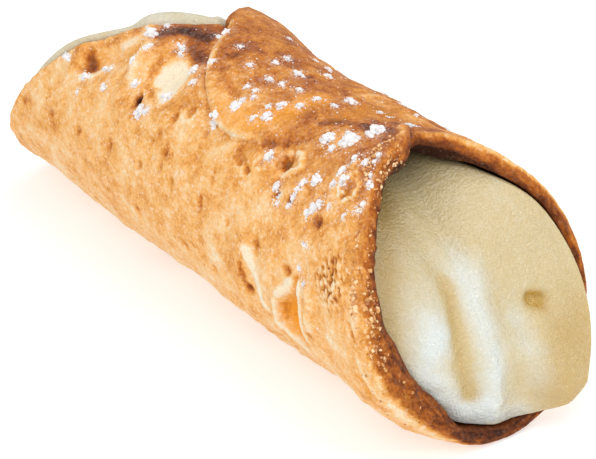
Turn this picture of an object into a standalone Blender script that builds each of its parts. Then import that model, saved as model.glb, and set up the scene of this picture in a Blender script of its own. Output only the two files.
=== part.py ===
"""A cannoli: a square of dough rolled into a tube and fried, with cream right through it.

The tube lies along X with its wide mouth towards +X, and the flap that closes it is on top.
Lengths are in millimetres and angles in degrees until on_tube() turns them into metres.
Angles round the tube count from the top and grow towards -Y.
"""
import math
import random

import bmesh
import bpy
from mathutils import Vector, noise

MM = 0.001

# The tube and its rims, which slant because the dough is rolled corner to corner
RADIUS = 20.4
WALL = 2.6
UNDERSIDE_FLAT = 0.5
NEAR_NOTCH_X = 31.5
NEAR_TIP_X = 57.3
NEAR_RIM_POWER = 0.85
# The corner of the front panel stands out a little
CORNER = 3.6
CORNER_ANGLE = 6
CORNER_SPREAD = 10
# How far the mouth's rim reaches out beyond the plain slant on the camera's side: (angle, length)
NEAR_RIM_REACH = ((-180, 0), (15, 0), (30, 1.0), (50, 2.2), (65, 2.8), (85, 2.7), (100, 2.4), (120, 1.4),
                  (140, 0.7), (165, 0), (180, 0))
FAR_NOTCH_X = -17.0
FAR_TIP_X = -59.8
FAR_NOTCH_ANGLE = -6.5
# How far the far rim reaches out beyond its plain slant: (angle, length)
FAR_RIM_REACH = ((-180, 0), (-120, -1.5), (-90, -2.3), (-60, -3.0), (-38, -3.3), (-23, -2.0), (-13, -0.8),
                 (-6, 0), (14, 0.6), (30, 0.7), (60, 0.9), (90, 0.9), (120, 0.7), (168, 0), (180, 0))
RIM_ROUNDING = 0.9
FLARE = 1.4
FLARE_STARTS = 0.7
FLARE_FULL_TO = 90
FLARE_GONE_AT = 155
# The wall at the rims, thick where the dough doubles up at the mouth: (angle, thickness)
FAR_RIM_WALL = 1.7
NEAR_RIM_WALL = ((-180, 2.6), (-170, 2.1), (-150, 1.8), (-110, 1.7), (-60, 1.8), (-38, 2.8), (-24, 3.3),
                 (-16, 4.8), (-10, 6.2), (-3, 6.6), (4, 6.2), (12, 4.8), (24, 3.4), (50, 2.4), (60, 2.6),
                 (70, 3.8), (80, 4.6), (90, 6.6), (100, 7.2), (120, 7.2), (132, 7.1), (141, 6.2),
                 (150, 4.7), (160, 3.3), (170, 3.0), (180, 2.6))
RIM_WALL_LENGTH = 8.0
# The thick part of the mouth's rim curls in outside: (angle, depth), over a length along the tube
NEAR_RIM_CURL = ((-180, 0.3), (-160, 0), (85, 0), (100, 0.3), (110, 1.1), (120, 1.4), (135, 1.7),
                 (150, 1.5), (165, 0.8), (180, 0.3))
CURL_LENGTH = 5.5
# Its face sinks towards the cream by this share of what is thicker than the plain wall
RIM_DISH = 0.35
# Beside the corner it sinks deeper, into a dark pocket
POCKET = 4.0
POCKET_ANGLE = -6
POCKET_SPREAD = 12

# The flap's edge: (share of the way from far rim to near rim, angle)
FLAP_EDGE = ((0.0, -7), (0.13, 2), (0.28, 19), (0.39, 32), (0.48, 41), (0.54, 42.5), (0.6, 39.5),
             (0.64, 36), (0.68, 32.5), (0.74, 26), (0.78, 17), (0.81, 9), (0.86, 3), (1.0, -1))
# The step there: up onto the back of the dough at the far end, onto its front at the mouth
FLAP_STEP = ((0.0, 2.0), (0.25, 1.8), (0.45, 1.4), (0.6, 0.5), (0.7, 0.0),
             (0.78, -1.3), (0.86, -1.9), (1.0, -2.1))
FLAP_FADES_OVER = 75
FLAP_LIFTS_WITHIN = 12
FLAP_HOLLOW = 0.7

# Blisters that stand out and hollows that sank: (x, angle, half length, half width round, height)
BLISTERS = (
    (-32.3, 49, 3.2, 3.6, -1.7), (-28.5, 40, 4.5, 3.2, -1.4), (-35.5, 49, 1.6, 4.0, 0.9),
    (-31, 58, 3.5, 1.8, 0.7), (-14.5, 34, 4.6, 4.8, -1.8), (-20.8, 37, 1.8, 6.0, 1.0),
    (-15, 18, 4.0, 3.5, -0.5), (-6, 52, 5.0, 3.0, 0.6), (-16.6, 53, 1.6, 1.5, -0.9),
    (1, 25, 2.2, 1.9, -0.9), (-14, -30, 9.0, 9.0, 1.3), (20.2, 41, 1.8, 2.4, -1.3),
    (35, 31, 2.4, 3.0, 0.5), (43.5, 69, 3.6, 3.2, 0.6), (31.8, 101, 2.4, 3.4, -1.6),
    (28, 104, 1.4, 4.5, 0.9), (37.5, 90, 1.6, 5.0, 0.8), (22.6, 94, 1.4, 7.0, -0.5),
    (19, 97, 2.0, 7.5, 0.5), (38, 137, 6.0, 6.0, -1.0), (12, -70, 6.0, 7.0, 1.0),
    (-30, -80, 7.0, 6.0, 0.9), (-12, -118, 6.0, 5.0, -1.2), (34, -62, 4.5, 5.0, -1.0),
    (22, -128, 8.0, 6.0, 1.1), (40, -95, 5.0, 5.5, 0.9), (-44, -130, 6.0, 6.0, -1.1),
    (3, 137, 8.0, 6.0, -0.4), (-48, 134, 8.0, 7.0, -0.6), (-4, -40, 9.0, 7.0, -0.5),
    (20, -40, 7.0, 7.0, 0.6), (34, -38, 5.0, 7.0, 0.2),
)
WAVE_LENGTH = 11.0
WAVE_HEIGHT = 0.45
CALM_BELOW = 150

# The cream, a little clear of the pastry
CREAM_GAP = 0.3
# How far its edge stands out past the near rim, or lies back inside it: (angle, length)
CREAM_NEAR_EDGE = ((-180, -0.6), (-168, -0.5), (-157, 1.8), (-146, 5.0), (-136, 6.2), (-125, 5.4),
                   (-110, 3.9), (-90, 1.9), (-70, 0.4), (-52, 0.2), (-40, -0.8), (-22, -4.0),
                   (0, -8.5), (35, -10.0), (60, -9.0), (80, -6.5), (95, -4.5), (120, -3.6),
                   (140, -3.2), (152, -3.0), (168, -1.8), (180, -0.6))
# It lies lower under the near corner, with a dark hollow above it
CREAM_SINK = 5.5
CREAM_SINK_ANGLE = -4
CREAM_SINK_SPREAD = 18
CREAM_SINK_LENGTH = 20
# How far it stands out past the far rim, where it swells over the rim on top
CREAM_FAR_EDGE = ((-180, 1.2), (-120, 1.6), (-60, 2.4), (-30, 2.8), (-16, 3.8), (-9, 5.4), (-2, 6.7),
                  (4, 7.2), (10, 6.6), (16, 5.0), (22, 3.6), (30, 3.4), (45, 3.8), (60, 3.0), (85, 1.3),
                  (180, 1.2))
CREAM_FAR_OVERHANG = 2.2
# The overhang begins where the edge stands out this far, and is full where it stands out by so much
CREAM_OVERHANGS_FROM = 1.2
CREAM_OVERHANGS_FULLY = 5.6
# The shape of that swelling: (share of the edge's length, share of the overhang)
CREAM_FAR_SWELL = ((1.0, 0.45), (0.8, 1.0), (0.45, 0.75), (0.28, 0.0))
# The uneven edge evens out towards the middle by this power
UNEVENNESS_POWER = 2.5
CREAM_EDGE_ROUNDING = 0.2
CREAM_SHOULDER = 1.4
CREAM_NEAR_BULGE = 4.0
CREAM_FAR_BULGE = 3.0
# Smears on its near face: (path of (y, height above the underside), half width, height)
SMEARS = (
    (((-2.6, 24.5), (-2.7, 22), (-3.5, 19.5), (-4.3, 16.5), (-5, 13.5), (-4.4, 9)), 1.9, -1.0),
    (((3, 26.5), (1.2, 22.5), (0.6, 17.5), (-0.2, 13), (-1.6, 8)), 2.6, 0.7),
    (((-7.5, 20), (-9.8, 17.5), (-10.5, 13.5), (-8.5, 10)), 3.0, 0.6),
    (((10.4, 18.4), (12, 18)), 1.2, -1.3),
    (((7.5, 17), (5.8, 12), (5, 7)), 2.4, -0.5),
    (((13, 11), (12, 6)), 3.0, 0.5),
    (((-9, 31), (-2, 35)), 4.0, -2.4),
)

# Clumps of sugar: (x, angle, half width) of the largest, then smaller ones by a seeded draw
LARGE_CLUMPS = (
    (29.5, 19, 1.7), (31.5, 10, 1.6), (2.3, 41, 1.3), (25.2, 22, 1.2), (29.8, 39, 1.1),
    (32.6, 49, 1.3), (-11.0, 25, 1.3), (-11.6, 43, 1.3), (11.2, 27, 1.2), (4.3, 31, 1.1),
    (17.1, -6, 1.3), (5.5, -1, 1.3), (-14.6, 56, 1.4), (-31.6, 56, 1.2),
)
SMALL_CLUMPS = 30
SMALL_CLUMP_SIZE = (0.7, 1.1)
CLUMP_FLATNESS = 0.6
CLUMP_UNEVENNESS = 0.18
CLUMP_RISE = 0.1
SUGAR_ANGLES = (-32, 50)
SUGAR_SHARES = (0.06, 0.95)
CLUMP_SPACING = 4.2
SUGAR_SEED = 14

# Looks of the two pieces: colour, roughness and how far light passes through
PASTRY_LOOK = ((0.72, 0.36, 0.12), 0.6, 0.0)
CREAM_LOOK = ((0.84, 0.74, 0.52), 0.4, 0.2)

# Mesh fineness
COLUMN_PAIRS = 31
COLUMN_POWER = 1.25
STEP_HALF_ANGLE = 0.8
OUTER_ROWS = 44
BORE_STOPS = (0.0, 2.0, 4.0, 6.0, 8.0)
RIM_ROWS = 3
MERGE_WITHIN = 0.01
CREAM_COLUMNS = 48
CREAM_NEAR_RINGS = 12
CREAM_FAR_RINGS = 5

# Puts the middle of the whole length at x = 0
CENTRE_SHIFT = -0.6
AXIS_HEIGHT = RADIUS - UNDERSIDE_FLAT


def smooth(t):
    """Ease from 0 to 1."""
    t = min(max(t, 0.0), 1.0)
    return t * t * (3 - 2 * t)


def through(points, at):
    """The value at one position on a smooth curve through a short list of (position, value)."""
    if at <= points[0][0]:
        return points[0][1]
    for i in range(len(points) - 1):
        (a, low), (b, high) = points[i], points[i + 1]
        if at <= b:
            before = points[max(i - 1, 0)]
            after = points[min(i + 2, len(points) - 1)]
            t = (at - a) / (b - a)
            leave = (high - before[1]) / (b - before[0]) * (b - a)
            arrive = (after[1] - low) / (after[0] - a) * (b - a)
            return (low * (1 + 2 * t) * (1 - t) ** 2 + leave * t * (1 - t) ** 2
                    + high * t * t * (3 - 2 * t) - arrive * t * t * (1 - t))
    return points[-1][1]


def turn(angle):
    """The same direction as an angle from -180 to 180."""
    return (angle + 180) % 360 - 180


def on_tube(x, angle, radius):
    """A point in metres, never lower than the flat that the tube rests on."""
    a = math.radians(angle)
    height = max(AXIS_HEIGHT + radius * math.cos(a), 0.0)
    return Vector((x + CENTRE_SHIFT, -radius * math.sin(a), height)) * MM


def near_rim(angle):
    swing = abs(math.sin(math.radians(angle / 2))) ** NEAR_RIM_POWER
    corner = CORNER * math.exp(-(turn(angle - CORNER_ANGLE) / CORNER_SPREAD) ** 2)
    reach = through(NEAR_RIM_REACH, turn(angle))
    return NEAR_NOTCH_X + (NEAR_TIP_X - NEAR_NOTCH_X) * swing + corner + reach


def far_rim(angle):
    swing = abs(math.sin(math.radians((angle - FAR_NOTCH_ANGLE) / 2)))
    return FAR_NOTCH_X + (FAR_TIP_X - FAR_NOTCH_X) * swing - through(FAR_RIM_REACH, turn(angle))


def between_rims(share, angle):
    return far_rim(angle) + (near_rim(angle) - far_rim(angle)) * share


def share_along(x, angle):
    """How far along the tube a place is, from 0 at the far rim to 1 at the near rim."""
    return (x - far_rim(angle)) / (near_rim(angle) - far_rim(angle))


def calm(angle):
    """1 round most of the tube, easing to 0 along the underside that it rests on."""
    return 1 - smooth((abs(turn(angle)) - CALM_BELOW) / (180 - CALM_BELOW))


def flare(share, angle):
    """The mouth spreads at the top and the sides, not where it lies on the underside."""
    sides = 1 - smooth((abs(turn(angle)) - FLARE_FULL_TO) / (FLARE_GONE_AT - FLARE_FULL_TO))
    return FLARE * sides * smooth((share - FLARE_STARTS) / (1 - FLARE_STARTS)) ** 2


def flap(share, angle):
    """How far the overlap lifts the surface: most at the flap's edge, on the side that lies on top."""
    step = through(FLAP_STEP, share)
    past_edge = turn(angle - through(FLAP_EDGE, share))
    lies_under = past_edge > 0 if step > 0 else past_edge < 0
    if lies_under:
        return 0.0
    return abs(step) * (1 - smooth(abs(past_edge) / FLAP_FADES_OVER))


def relief(x, angle):
    """Blisters, hollows and the gentle waves of fried dough, calmer on the underside."""
    height = 0.0
    for at_x, at_angle, length, width, tall in BLISTERS:
        aside = math.radians(turn(angle - at_angle)) * RADIUS
        height += tall * math.exp(-(((x - at_x) / length) ** 2) - (aside / width) ** 2)
    a = math.radians(angle)
    place = Vector((x, RADIUS * math.sin(a), RADIUS * math.cos(a))) / WAVE_LENGTH
    return height + WAVE_HEIGHT * calm(angle) * noise.noise(place)


def curl(x, angle):
    """How far the outside curls in close to the mouth's rim."""
    depth = through(NEAR_RIM_CURL, turn(angle))
    return depth * max(1 - (near_rim(angle) - x) / CURL_LENGTH, 0) ** 2


def outer_radius(x, angle):
    share = share_along(x, angle)
    return RADIUS + flare(share, angle) + flap(share, angle) + relief(x, angle) - curl(x, angle)


def rim_distance(x, angle):
    return max(min(near_rim(angle) - x, x - far_rim(angle)), 0)


def bore_radius(x, angle):
    """The bore follows the flare of the mouth, and the wall its thickness at both rims."""
    at_near = smooth(1 - (near_rim(angle) - x) / RIM_WALL_LENGTH)
    at_far = smooth(1 - (x - far_rim(angle)) / RIM_WALL_LENGTH)
    wall = WALL + at_far * (FAR_RIM_WALL - WALL)
    wall += at_near * (through(NEAR_RIM_WALL, turn(angle)) - WALL)
    return RADIUS + flare(share_along(x, angle), angle) - wall


def inner_radius(x, angle):
    """Near the rims the lifted flap stands off the cream, with a hollow under it."""
    lift = flap(share_along(x, angle), angle) * smooth(1 - rim_distance(x, angle) / FLAP_LIFTS_WITHIN)
    return bore_radius(x, angle) + FLAP_HOLLOW * lift


def rim_dish(angle):
    """How much deeper the inner edge of the mouth's rim lies than its outer edge."""
    pocket = POCKET * math.exp(-(turn(angle - POCKET_ANGLE) / POCKET_SPREAD) ** 2)
    return RIM_DISH * max(through(NEAR_RIM_WALL, turn(angle)) - WALL, 0) + pocket


def bore_stops(start, end):
    """Places along the bore, close together near both ends."""
    middle = (start + end) / 2
    return ([start + stop for stop in BORE_STOPS] + [middle]
            + [end - stop for stop in reversed(BORE_STOPS)])


def loft(name, columns, closed):
    """A mesh of columns of points joined side by side, all the way round.

    Closed columns are rings, as in a tube with a bore. Open ones share their first and last points.
    """
    mesh = bmesh.new()
    if closed:
        grid = [[mesh.verts.new(point) for point in column] for column in columns]
        rows = len(grid[0])
    else:
        first = mesh.verts.new(columns[0][0])
        last = mesh.verts.new(columns[0][-1])
        grid = [[first] + [mesh.verts.new(point) for point in column[1:-1]] + [last]
                for column in columns]
        rows = len(grid[0]) - 1
    for here, beside in zip(grid, grid[1:] + grid[:1]):
        for row in range(rows):
            following = (row + 1) % len(here)
            corners = (here[row], here[following], beside[following], beside[row])
            mesh.faces.new(tuple(dict.fromkeys(corners)))
    bmesh.ops.recalc_face_normals(mesh, faces=mesh.faces)
    data = bpy.data.meshes.new(name)
    mesh.to_mesh(data)
    mesh.free()
    data.shade_smooth()
    return bpy.data.objects.new(name, data)


def column_angle(straight, share):
    """A column of the shell's mesh keeps to the flap's edge on top and runs straight underneath."""
    return straight + through(FLAP_EDGE, share) * math.cos(math.radians(straight / 2)) ** 2


def rim_points(x, angle, outwards, start, end, sinks):
    """The rounded rim, from one radius to another, with its last edge set back by what it sinks."""
    for row in range(1, RIM_ROWS):
        t = row / RIM_ROWS
        bulge = outwards * RIM_ROUNDING * math.sin(math.pi * t)
        yield on_tube(x + bulge - sinks * t * t, angle, start + (end - start) * t)


def shell_column(straight):
    """A ring of points: along the outside, round the near rim, back inside, round the far rim."""
    points = []
    for row in range(OUTER_ROWS + 1):
        angle = column_angle(straight, row / OUTER_ROWS)
        x = between_rims(row / OUTER_ROWS, angle)
        points.append(on_tube(x, angle, outer_radius(x, angle)))
    far_angle, near_angle = column_angle(straight, 0), column_angle(straight, 1)
    x, sinks = near_rim(near_angle), rim_dish(near_angle)
    points += rim_points(x, near_angle, 1, outer_radius(x, near_angle),
                         inner_radius(x - sinks, near_angle), sinks)
    for x in reversed(bore_stops(far_rim(far_angle), near_rim(near_angle) - sinks)):
        share = (x - far_rim(far_angle)) / (near_rim(near_angle) - far_rim(far_angle))
        angle = far_angle + (near_angle - far_angle) * share
        points.append(on_tube(x, angle, inner_radius(x, angle)))
    x = far_rim(far_angle)
    points += rim_points(x, far_angle, -1, inner_radius(x, far_angle), outer_radius(x, far_angle), 0)
    return points


def make_shell():
    straights = [-STEP_HALF_ANGLE, STEP_HALF_ANGLE, 180]
    for i in range(1, COLUMN_PAIRS):
        away = 180 * (i / COLUMN_PAIRS) ** COLUMN_POWER
        straights += [away, -away]
    return loft("shell", [shell_column(straight) for straight in sorted(straights)], closed=True)


def smear_height(y, height):
    """The ridges and grooves left on the cream by the knife."""
    total = 0.0
    place = Vector((y, height))
    for path, half_width, tall in SMEARS:
        nearest = 1e9
        for start, end in zip(path, path[1:]):
            a, b = Vector(start), Vector(end)
            t = min(max((place - a).dot(b - a) / (b - a).length_squared, 0), 1)
            nearest = min(nearest, (place - a.lerp(b, t)).length)
        total += tall * math.exp(-(nearest / half_width) ** 2)
    return total


def cream_radius(x, angle):
    """The cream fills the bore but for a thin gap, and sinks away from it under the near corner."""
    from_mouth = near_rim(angle) - x
    sink = CREAM_SINK * math.exp(-(turn(angle - CREAM_SINK_ANGLE) / CREAM_SINK_SPREAD) ** 2)
    return bore_radius(x, angle) - CREAM_GAP - sink * smooth(1 - from_mouth / CREAM_SINK_LENGTH)


def cream_near_edge(angle):
    return near_rim(angle) + through(CREAM_NEAR_EDGE, turn(angle))


def cream_far_edge(angle):
    return far_rim(angle) - through(CREAM_FAR_EDGE, turn(angle))


def slant(edge):
    """The middle of a slanted end and how much further out its top is, from its edge all round."""
    angles = [360 * i / CREAM_COLUMNS for i in range(CREAM_COLUMNS)]
    middle = sum(edge(angle) for angle in angles) / CREAM_COLUMNS
    top = sum(edge(angle) * math.cos(math.radians(angle)) for angle in angles) * 2 / CREAM_COLUMNS
    return middle, top


def face_points(edge, edge_radius, angle, bulge, rings, height_at):
    """Points across one end of the cream, from just inside its edge to the axis."""
    middle, top = slant(edge)
    a = math.radians(angle)
    unevenness = edge(angle) - middle - top * math.cos(a)
    for ring in range(1, rings + 1):
        reach = 1 - ring / rings
        radius = edge_radius * reach
        x = middle + top * reach * math.cos(a)
        x += unevenness * reach ** UNEVENNESS_POWER + bulge * (1 - reach ** 3)
        x += height_at(-radius * math.sin(a), AXIS_HEIGHT + radius * math.cos(a))
        yield on_tube(x, angle, radius)


def no_smears(y, height):
    return 0.0


def cream_column(angle):
    """Points from the middle of the far end, over its swelling, along the bore to the near end."""
    near_x, far_x = cream_near_edge(angle), far_rim(angle)
    far_radius = cream_radius(far_x, angle)
    far_out = far_x - cream_far_edge(angle)
    share = (far_out - CREAM_OVERHANGS_FROM) / (CREAM_OVERHANGS_FULLY - CREAM_OVERHANGS_FROM)
    far_over = CREAM_FAR_OVERHANG * smooth(share)
    swell = [(far_x - out * far_out, far_radius + over * far_over) for out, over in CREAM_FAR_SWELL]
    far_face = face_points(cream_far_edge, swell[0][1], angle, -CREAM_FAR_BULGE, CREAM_FAR_RINGS,
                           no_smears)
    points = list(far_face)[::-1] + [on_tube(x, angle, radius) for x, radius in swell]
    inside_x = min(near_x, near_rim(angle)) - CREAM_SHOULDER
    for x in bore_stops(far_x, inside_x):
        points.append(on_tube(x, angle, cream_radius(x, angle)))
    halfway_x = (inside_x + near_x) / 2
    near_radius = cream_radius(min(near_x, near_rim(angle)), angle)
    points.append(on_tube(halfway_x, angle, near_radius))
    points.append(on_tube(near_x, angle, near_radius - CREAM_EDGE_ROUNDING))
    points += face_points(cream_near_edge, near_radius - CREAM_EDGE_ROUNDING, angle,
                          CREAM_NEAR_BULGE, CREAM_NEAR_RINGS, smear_height)
    return points


def make_cream():
    columns = [cream_column(360 * i / CREAM_COLUMNS) for i in range(CREAM_COLUMNS)]
    return loft("cream", columns, closed=False)


def clump_places(draw):
    """The named clumps, then smaller ones that keep their distance from those already there."""
    places = list(LARGE_CLUMPS)
    while len(places) < len(LARGE_CLUMPS) + SMALL_CLUMPS:
        angle = draw.uniform(*SUGAR_ANGLES)
        x = between_rims(draw.uniform(*SUGAR_SHARES), angle)
        size = draw.uniform(*SMALL_CLUMP_SIZE)
        here = on_tube(x, angle, RADIUS)
        if all((here - on_tube(px, pa, RADIUS)).length > CLUMP_SPACING * MM for px, pa, _ in places):
            places.append((x, angle, size))
    return places


def make_clump(x, angle, size, draw):
    """An uneven grain, flatter than it is wide and sunk a little in the pastry."""
    bpy.ops.mesh.primitive_ico_sphere_add(subdivisions=1, radius=size * MM)
    clump = bpy.context.object
    for vertex in clump.data.vertices:
        vertex.co *= draw.uniform(1 - CLUMP_UNEVENNESS, 1 + CLUMP_UNEVENNESS)
        vertex.co.z *= CLUMP_FLATNESS
    clump.rotation_euler = (math.radians(angle), 0, draw.uniform(0, math.tau))
    clump.location = on_tube(x, angle, outer_radius(x, angle) + CLUMP_RISE * size)
    return clump


def fuse_sugar(shell):
    """Join the clumps to the pastry with one union, drop them, and close the hairline slivers it leaves."""
    draw = random.Random(SUGAR_SEED)
    clumps = bpy.data.collections.new("sugar clumps")
    bpy.context.scene.collection.children.link(clumps)
    for x, angle, size in clump_places(draw):
        clump = make_clump(x, angle, size, draw)
        for owner in clump.users_collection:
            owner.objects.unlink(clump)
        clumps.objects.link(clump)
    union = shell.modifiers.new("sugar", "BOOLEAN")
    union.operation = "UNION"
    union.operand_type = "COLLECTION"
    union.collection = clumps
    bpy.context.view_layer.objects.active = shell
    bpy.ops.object.modifier_apply(modifier=union.name)
    for clump in list(clumps.objects):
        bpy.data.objects.remove(clump)
    bpy.data.collections.remove(clumps)
    mesh = bmesh.new()
    mesh.from_mesh(shell.data)
    bmesh.ops.triangulate(mesh, faces=mesh.faces)
    bmesh.ops.remove_doubles(mesh, verts=mesh.verts, dist=MERGE_WITHIN * MM)
    bmesh.ops.dissolve_degenerate(mesh, edges=mesh.edges, dist=MERGE_WITHIN * MM)
    mesh.to_mesh(shell.data)
    mesh.free()


def give_material(piece, color, roughness, subsurface):
    material = bpy.data.materials.new(piece.name)
    material.use_nodes = True
    surface = material.node_tree.nodes["Principled BSDF"]
    surface.inputs["Base Color"].default_value = (*color, 1)
    surface.inputs["Roughness"].default_value = roughness
    surface.inputs["Metallic"].default_value = 0
    surface.inputs["Subsurface Weight"].default_value = subsurface
    piece.data.materials.clear()
    piece.data.materials.append(material)


def main():
    for old in list(bpy.data.objects):
        bpy.data.objects.remove(old)
    cannoli = bpy.data.collections.new("cannoli")
    bpy.context.scene.collection.children.link(cannoli)
    shell, cream = make_shell(), make_cream()
    cannoli.objects.link(shell)
    cannoli.objects.link(cream)
    fuse_sugar(shell)
    give_material(shell, *PASTRY_LOOK)
    give_material(cream, *CREAM_LOOK)


main()
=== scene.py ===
import math
import random

import bmesh
import bpy
import numpy as np
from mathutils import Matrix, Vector, noise


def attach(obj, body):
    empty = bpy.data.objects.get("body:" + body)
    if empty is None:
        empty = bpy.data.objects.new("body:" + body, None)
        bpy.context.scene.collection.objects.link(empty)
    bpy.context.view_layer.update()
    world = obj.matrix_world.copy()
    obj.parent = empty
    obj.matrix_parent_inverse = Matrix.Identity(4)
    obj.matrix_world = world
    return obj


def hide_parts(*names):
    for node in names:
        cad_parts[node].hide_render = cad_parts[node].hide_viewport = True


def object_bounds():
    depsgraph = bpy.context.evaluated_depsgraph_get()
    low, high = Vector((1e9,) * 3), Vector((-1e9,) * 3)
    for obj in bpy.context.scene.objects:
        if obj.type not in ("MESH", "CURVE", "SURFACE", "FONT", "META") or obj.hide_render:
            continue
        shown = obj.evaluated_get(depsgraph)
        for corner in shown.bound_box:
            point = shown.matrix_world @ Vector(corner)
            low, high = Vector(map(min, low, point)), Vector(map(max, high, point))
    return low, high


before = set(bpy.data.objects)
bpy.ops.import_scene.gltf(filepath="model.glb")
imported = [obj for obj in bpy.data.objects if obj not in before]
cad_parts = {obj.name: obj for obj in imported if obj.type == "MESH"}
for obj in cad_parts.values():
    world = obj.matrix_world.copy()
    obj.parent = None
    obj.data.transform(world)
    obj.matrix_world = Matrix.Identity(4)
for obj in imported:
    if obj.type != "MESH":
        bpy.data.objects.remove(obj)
cad_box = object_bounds()

MM = 0.001

# Sizes shared with the solids. Lengths are in millimetres and angles in degrees; angles round
# the tube count from the top and grow towards -Y, the side that the camera sees.
RADIUS = 20.4
WALL = 2.6
UNDERSIDE_FLAT = 0.5
AXIS_HEIGHT = RADIUS - UNDERSIDE_FLAT
CENTRE_SHIFT = -0.6
NEAR_NOTCH_X, NEAR_TIP_X, NEAR_RIM_POWER = 31.5, 57.3, 0.85
CORNER, CORNER_ANGLE, CORNER_SPREAD = 3.6, 6, 10
NEAR_RIM_REACH = (
    (-180, 0), (15, 0), (30, 1), (50, 2.2), (65, 2.8), (85, 2.7), (100, 2.4), (120, 1.4), (140, 0.7),
    (165, 0), (180, 0),
)
FAR_NOTCH_X, FAR_TIP_X, FAR_NOTCH_ANGLE = -17, -59.8, -6.5
FAR_RIM_REACH = (
    (-180, 0), (-120, -1.5), (-90, -2.3), (-60, -3), (-38, -3.3), (-23, -2), (-13, -0.8), (-6, 0),
    (14, 0.6), (30, 0.7), (60, 0.9), (90, 0.9), (120, 0.7), (168, 0), (180, 0),
)
RIM_ROUNDING = 0.9
FLARE, FLARE_STARTS, FLARE_FULL_TO, FLARE_GONE_AT = 1.4, 0.7, 90, 155
FAR_RIM_WALL = 1.7
NEAR_RIM_WALL = (
    (-180, 2.6), (-170, 2.1), (-150, 1.8), (-110, 1.7), (-60, 1.8), (-38, 2.8), (-24, 3.3), (-16, 4.8),
    (-10, 6.2), (-3, 6.6), (4, 6.2), (12, 4.8), (24, 3.4), (50, 2.4), (60, 2.6), (70, 3.8), (80, 4.6),
    (90, 6.6), (100, 7.2), (120, 7.2), (132, 7.1), (141, 6.2), (150, 4.7), (160, 3.3), (170, 3),
    (180, 2.6),
)
RIM_WALL_LENGTH = 8
NEAR_RIM_CURL = (
    (-180, 0.3), (-160, 0), (85, 0), (100, 0.3), (110, 1.1), (120, 1.4), (135, 1.7), (150, 1.5),
    (165, 0.8), (180, 0.3),
)
CURL_LENGTH = 5.5
RIM_DISH = 0.35
POCKET, POCKET_ANGLE, POCKET_SPREAD = 4, -6, 12
FLAP_EDGE = (
    (0, -7), (0.13, 2), (0.28, 19), (0.39, 32), (0.48, 41), (0.54, 42.5), (0.6, 39.5), (0.64, 36),
    (0.68, 32.5), (0.74, 26), (0.78, 17), (0.81, 9), (0.86, 3), (1, -1),
)
FLAP_STEP = (
    (0, 2), (0.25, 1.8), (0.45, 1.4), (0.6, 0.5), (0.7, 0), (0.78, -1.3), (0.86, -1.9), (1, -2.1),
)
FLAP_FADES_OVER = 75
FLAP_LIFTS_WITHIN = 12
FLAP_HOLLOW = 0.7
BLISTERS = (
    (-32.3, 49, 3.2, 3.6, -1.7), (-28.5, 40, 4.5, 3.2, -1.4), (-35.5, 49, 1.6, 4, 0.9),
    (-31, 58, 3.5, 1.8, 0.7), (-14.5, 34, 4.6, 4.8, -1.8), (-20.8, 37, 1.8, 6, 1),
    (-15, 18, 4, 3.5, -0.5), (-6, 52, 5, 3, 0.6), (-16.6, 53, 1.6, 1.5, -0.9),
    (1, 25, 2.2, 1.9, -0.9), (-14, -30, 9, 9, 1.3), (20.2, 41, 1.8, 2.4, -1.3),
    (35, 31, 2.4, 3, 0.5), (43.5, 69, 3.6, 3.2, 0.6), (31.8, 101, 2.4, 3.4, -1.6),
    (28, 104, 1.4, 4.5, 0.9), (37.5, 90, 1.6, 5, 0.8), (22.6, 94, 1.4, 7, -0.5),
    (19, 97, 2, 7.5, 0.5), (38, 137, 6, 6, -1), (12, -70, 6, 7, 1),
    (-30, -80, 7, 6, 0.9), (-12, -118, 6, 5, -1.2), (34, -62, 4.5, 5, -1),
    (22, -128, 8, 6, 1.1), (40, -95, 5, 5.5, 0.9), (-44, -130, 6, 6, -1.1),
    (3, 137, 8, 6, -0.4), (-48, 134, 8, 7, -0.6), (-4, -40, 9, 7, -0.5),
    (20, -40, 7, 7, 0.6), (34, -38, 5, 7, 0.2),
)
WAVE_LENGTH, WAVE_HEIGHT, CALM_BELOW = 11, 0.45, 150
CREAM_GAP = 0.3
CREAM_NEAR_EDGE = (
    (-180, -0.6), (-168, -0.5), (-157, 1.8), (-146, 5), (-136, 6.2), (-125, 5.4), (-110, 3.9),
    (-90, 1.9), (-70, 0.4), (-52, 0.2), (-40, -0.8), (-22, -5), (0, -12), (35, -10), (60, -9),
    (80, -6.5), (95, -4.5), (120, -3.6), (140, -3.2), (152, -3), (168, -1.8), (180, -0.6),
)
CREAM_SINK, CREAM_SINK_ANGLE, CREAM_SINK_SPREAD, CREAM_SINK_LENGTH = 5.5, -4, 18, 20
CREAM_FAR_EDGE = (
    (-180, 1.2), (-120, 1.6), (-60, 2.4), (-30, 2.8), (-16, 3.8), (-9, 5.4), (-2, 6.7), (4, 7.2),
    (10, 6.6), (16, 5), (22, 3.6), (30, 3.4), (45, 3.8), (60, 3), (85, 1.3), (180, 1.2),
)
CREAM_FAR_OVERHANG, CREAM_OVERHANGS_FROM, CREAM_OVERHANGS_FULLY = 2.2, 1.2, 5.6
CREAM_FAR_SWELL = (
    (1, 0.45), (0.93, 0.8), (0.8, 1), (0.62, 0.97), (0.45, 0.75), (0.35, 0.35), (0.28, 0),
)
UNEVENNESS_POWER = 2.5
CREAM_EDGE_ROUNDING, CREAM_SHOULDER = 0.2, 1.4
CREAM_NEAR_BULGE, CREAM_FAR_BULGE = 4, 3
CREAM_TURN_SOFTENED = 0.09
# Noise in layers, here and below: (size, amount, seed)
CREAM_GRAIN = ((3.6, 0.2, 31), (1.9, 0.12, 32), (1, 0.06, 33), (0.6, 0.05, 34))
# The outer share of each face where the grain eases out
FAR_GRAIN_FADES, NEAR_GRAIN_FADES = 1 / 8, 1 / 12
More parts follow.
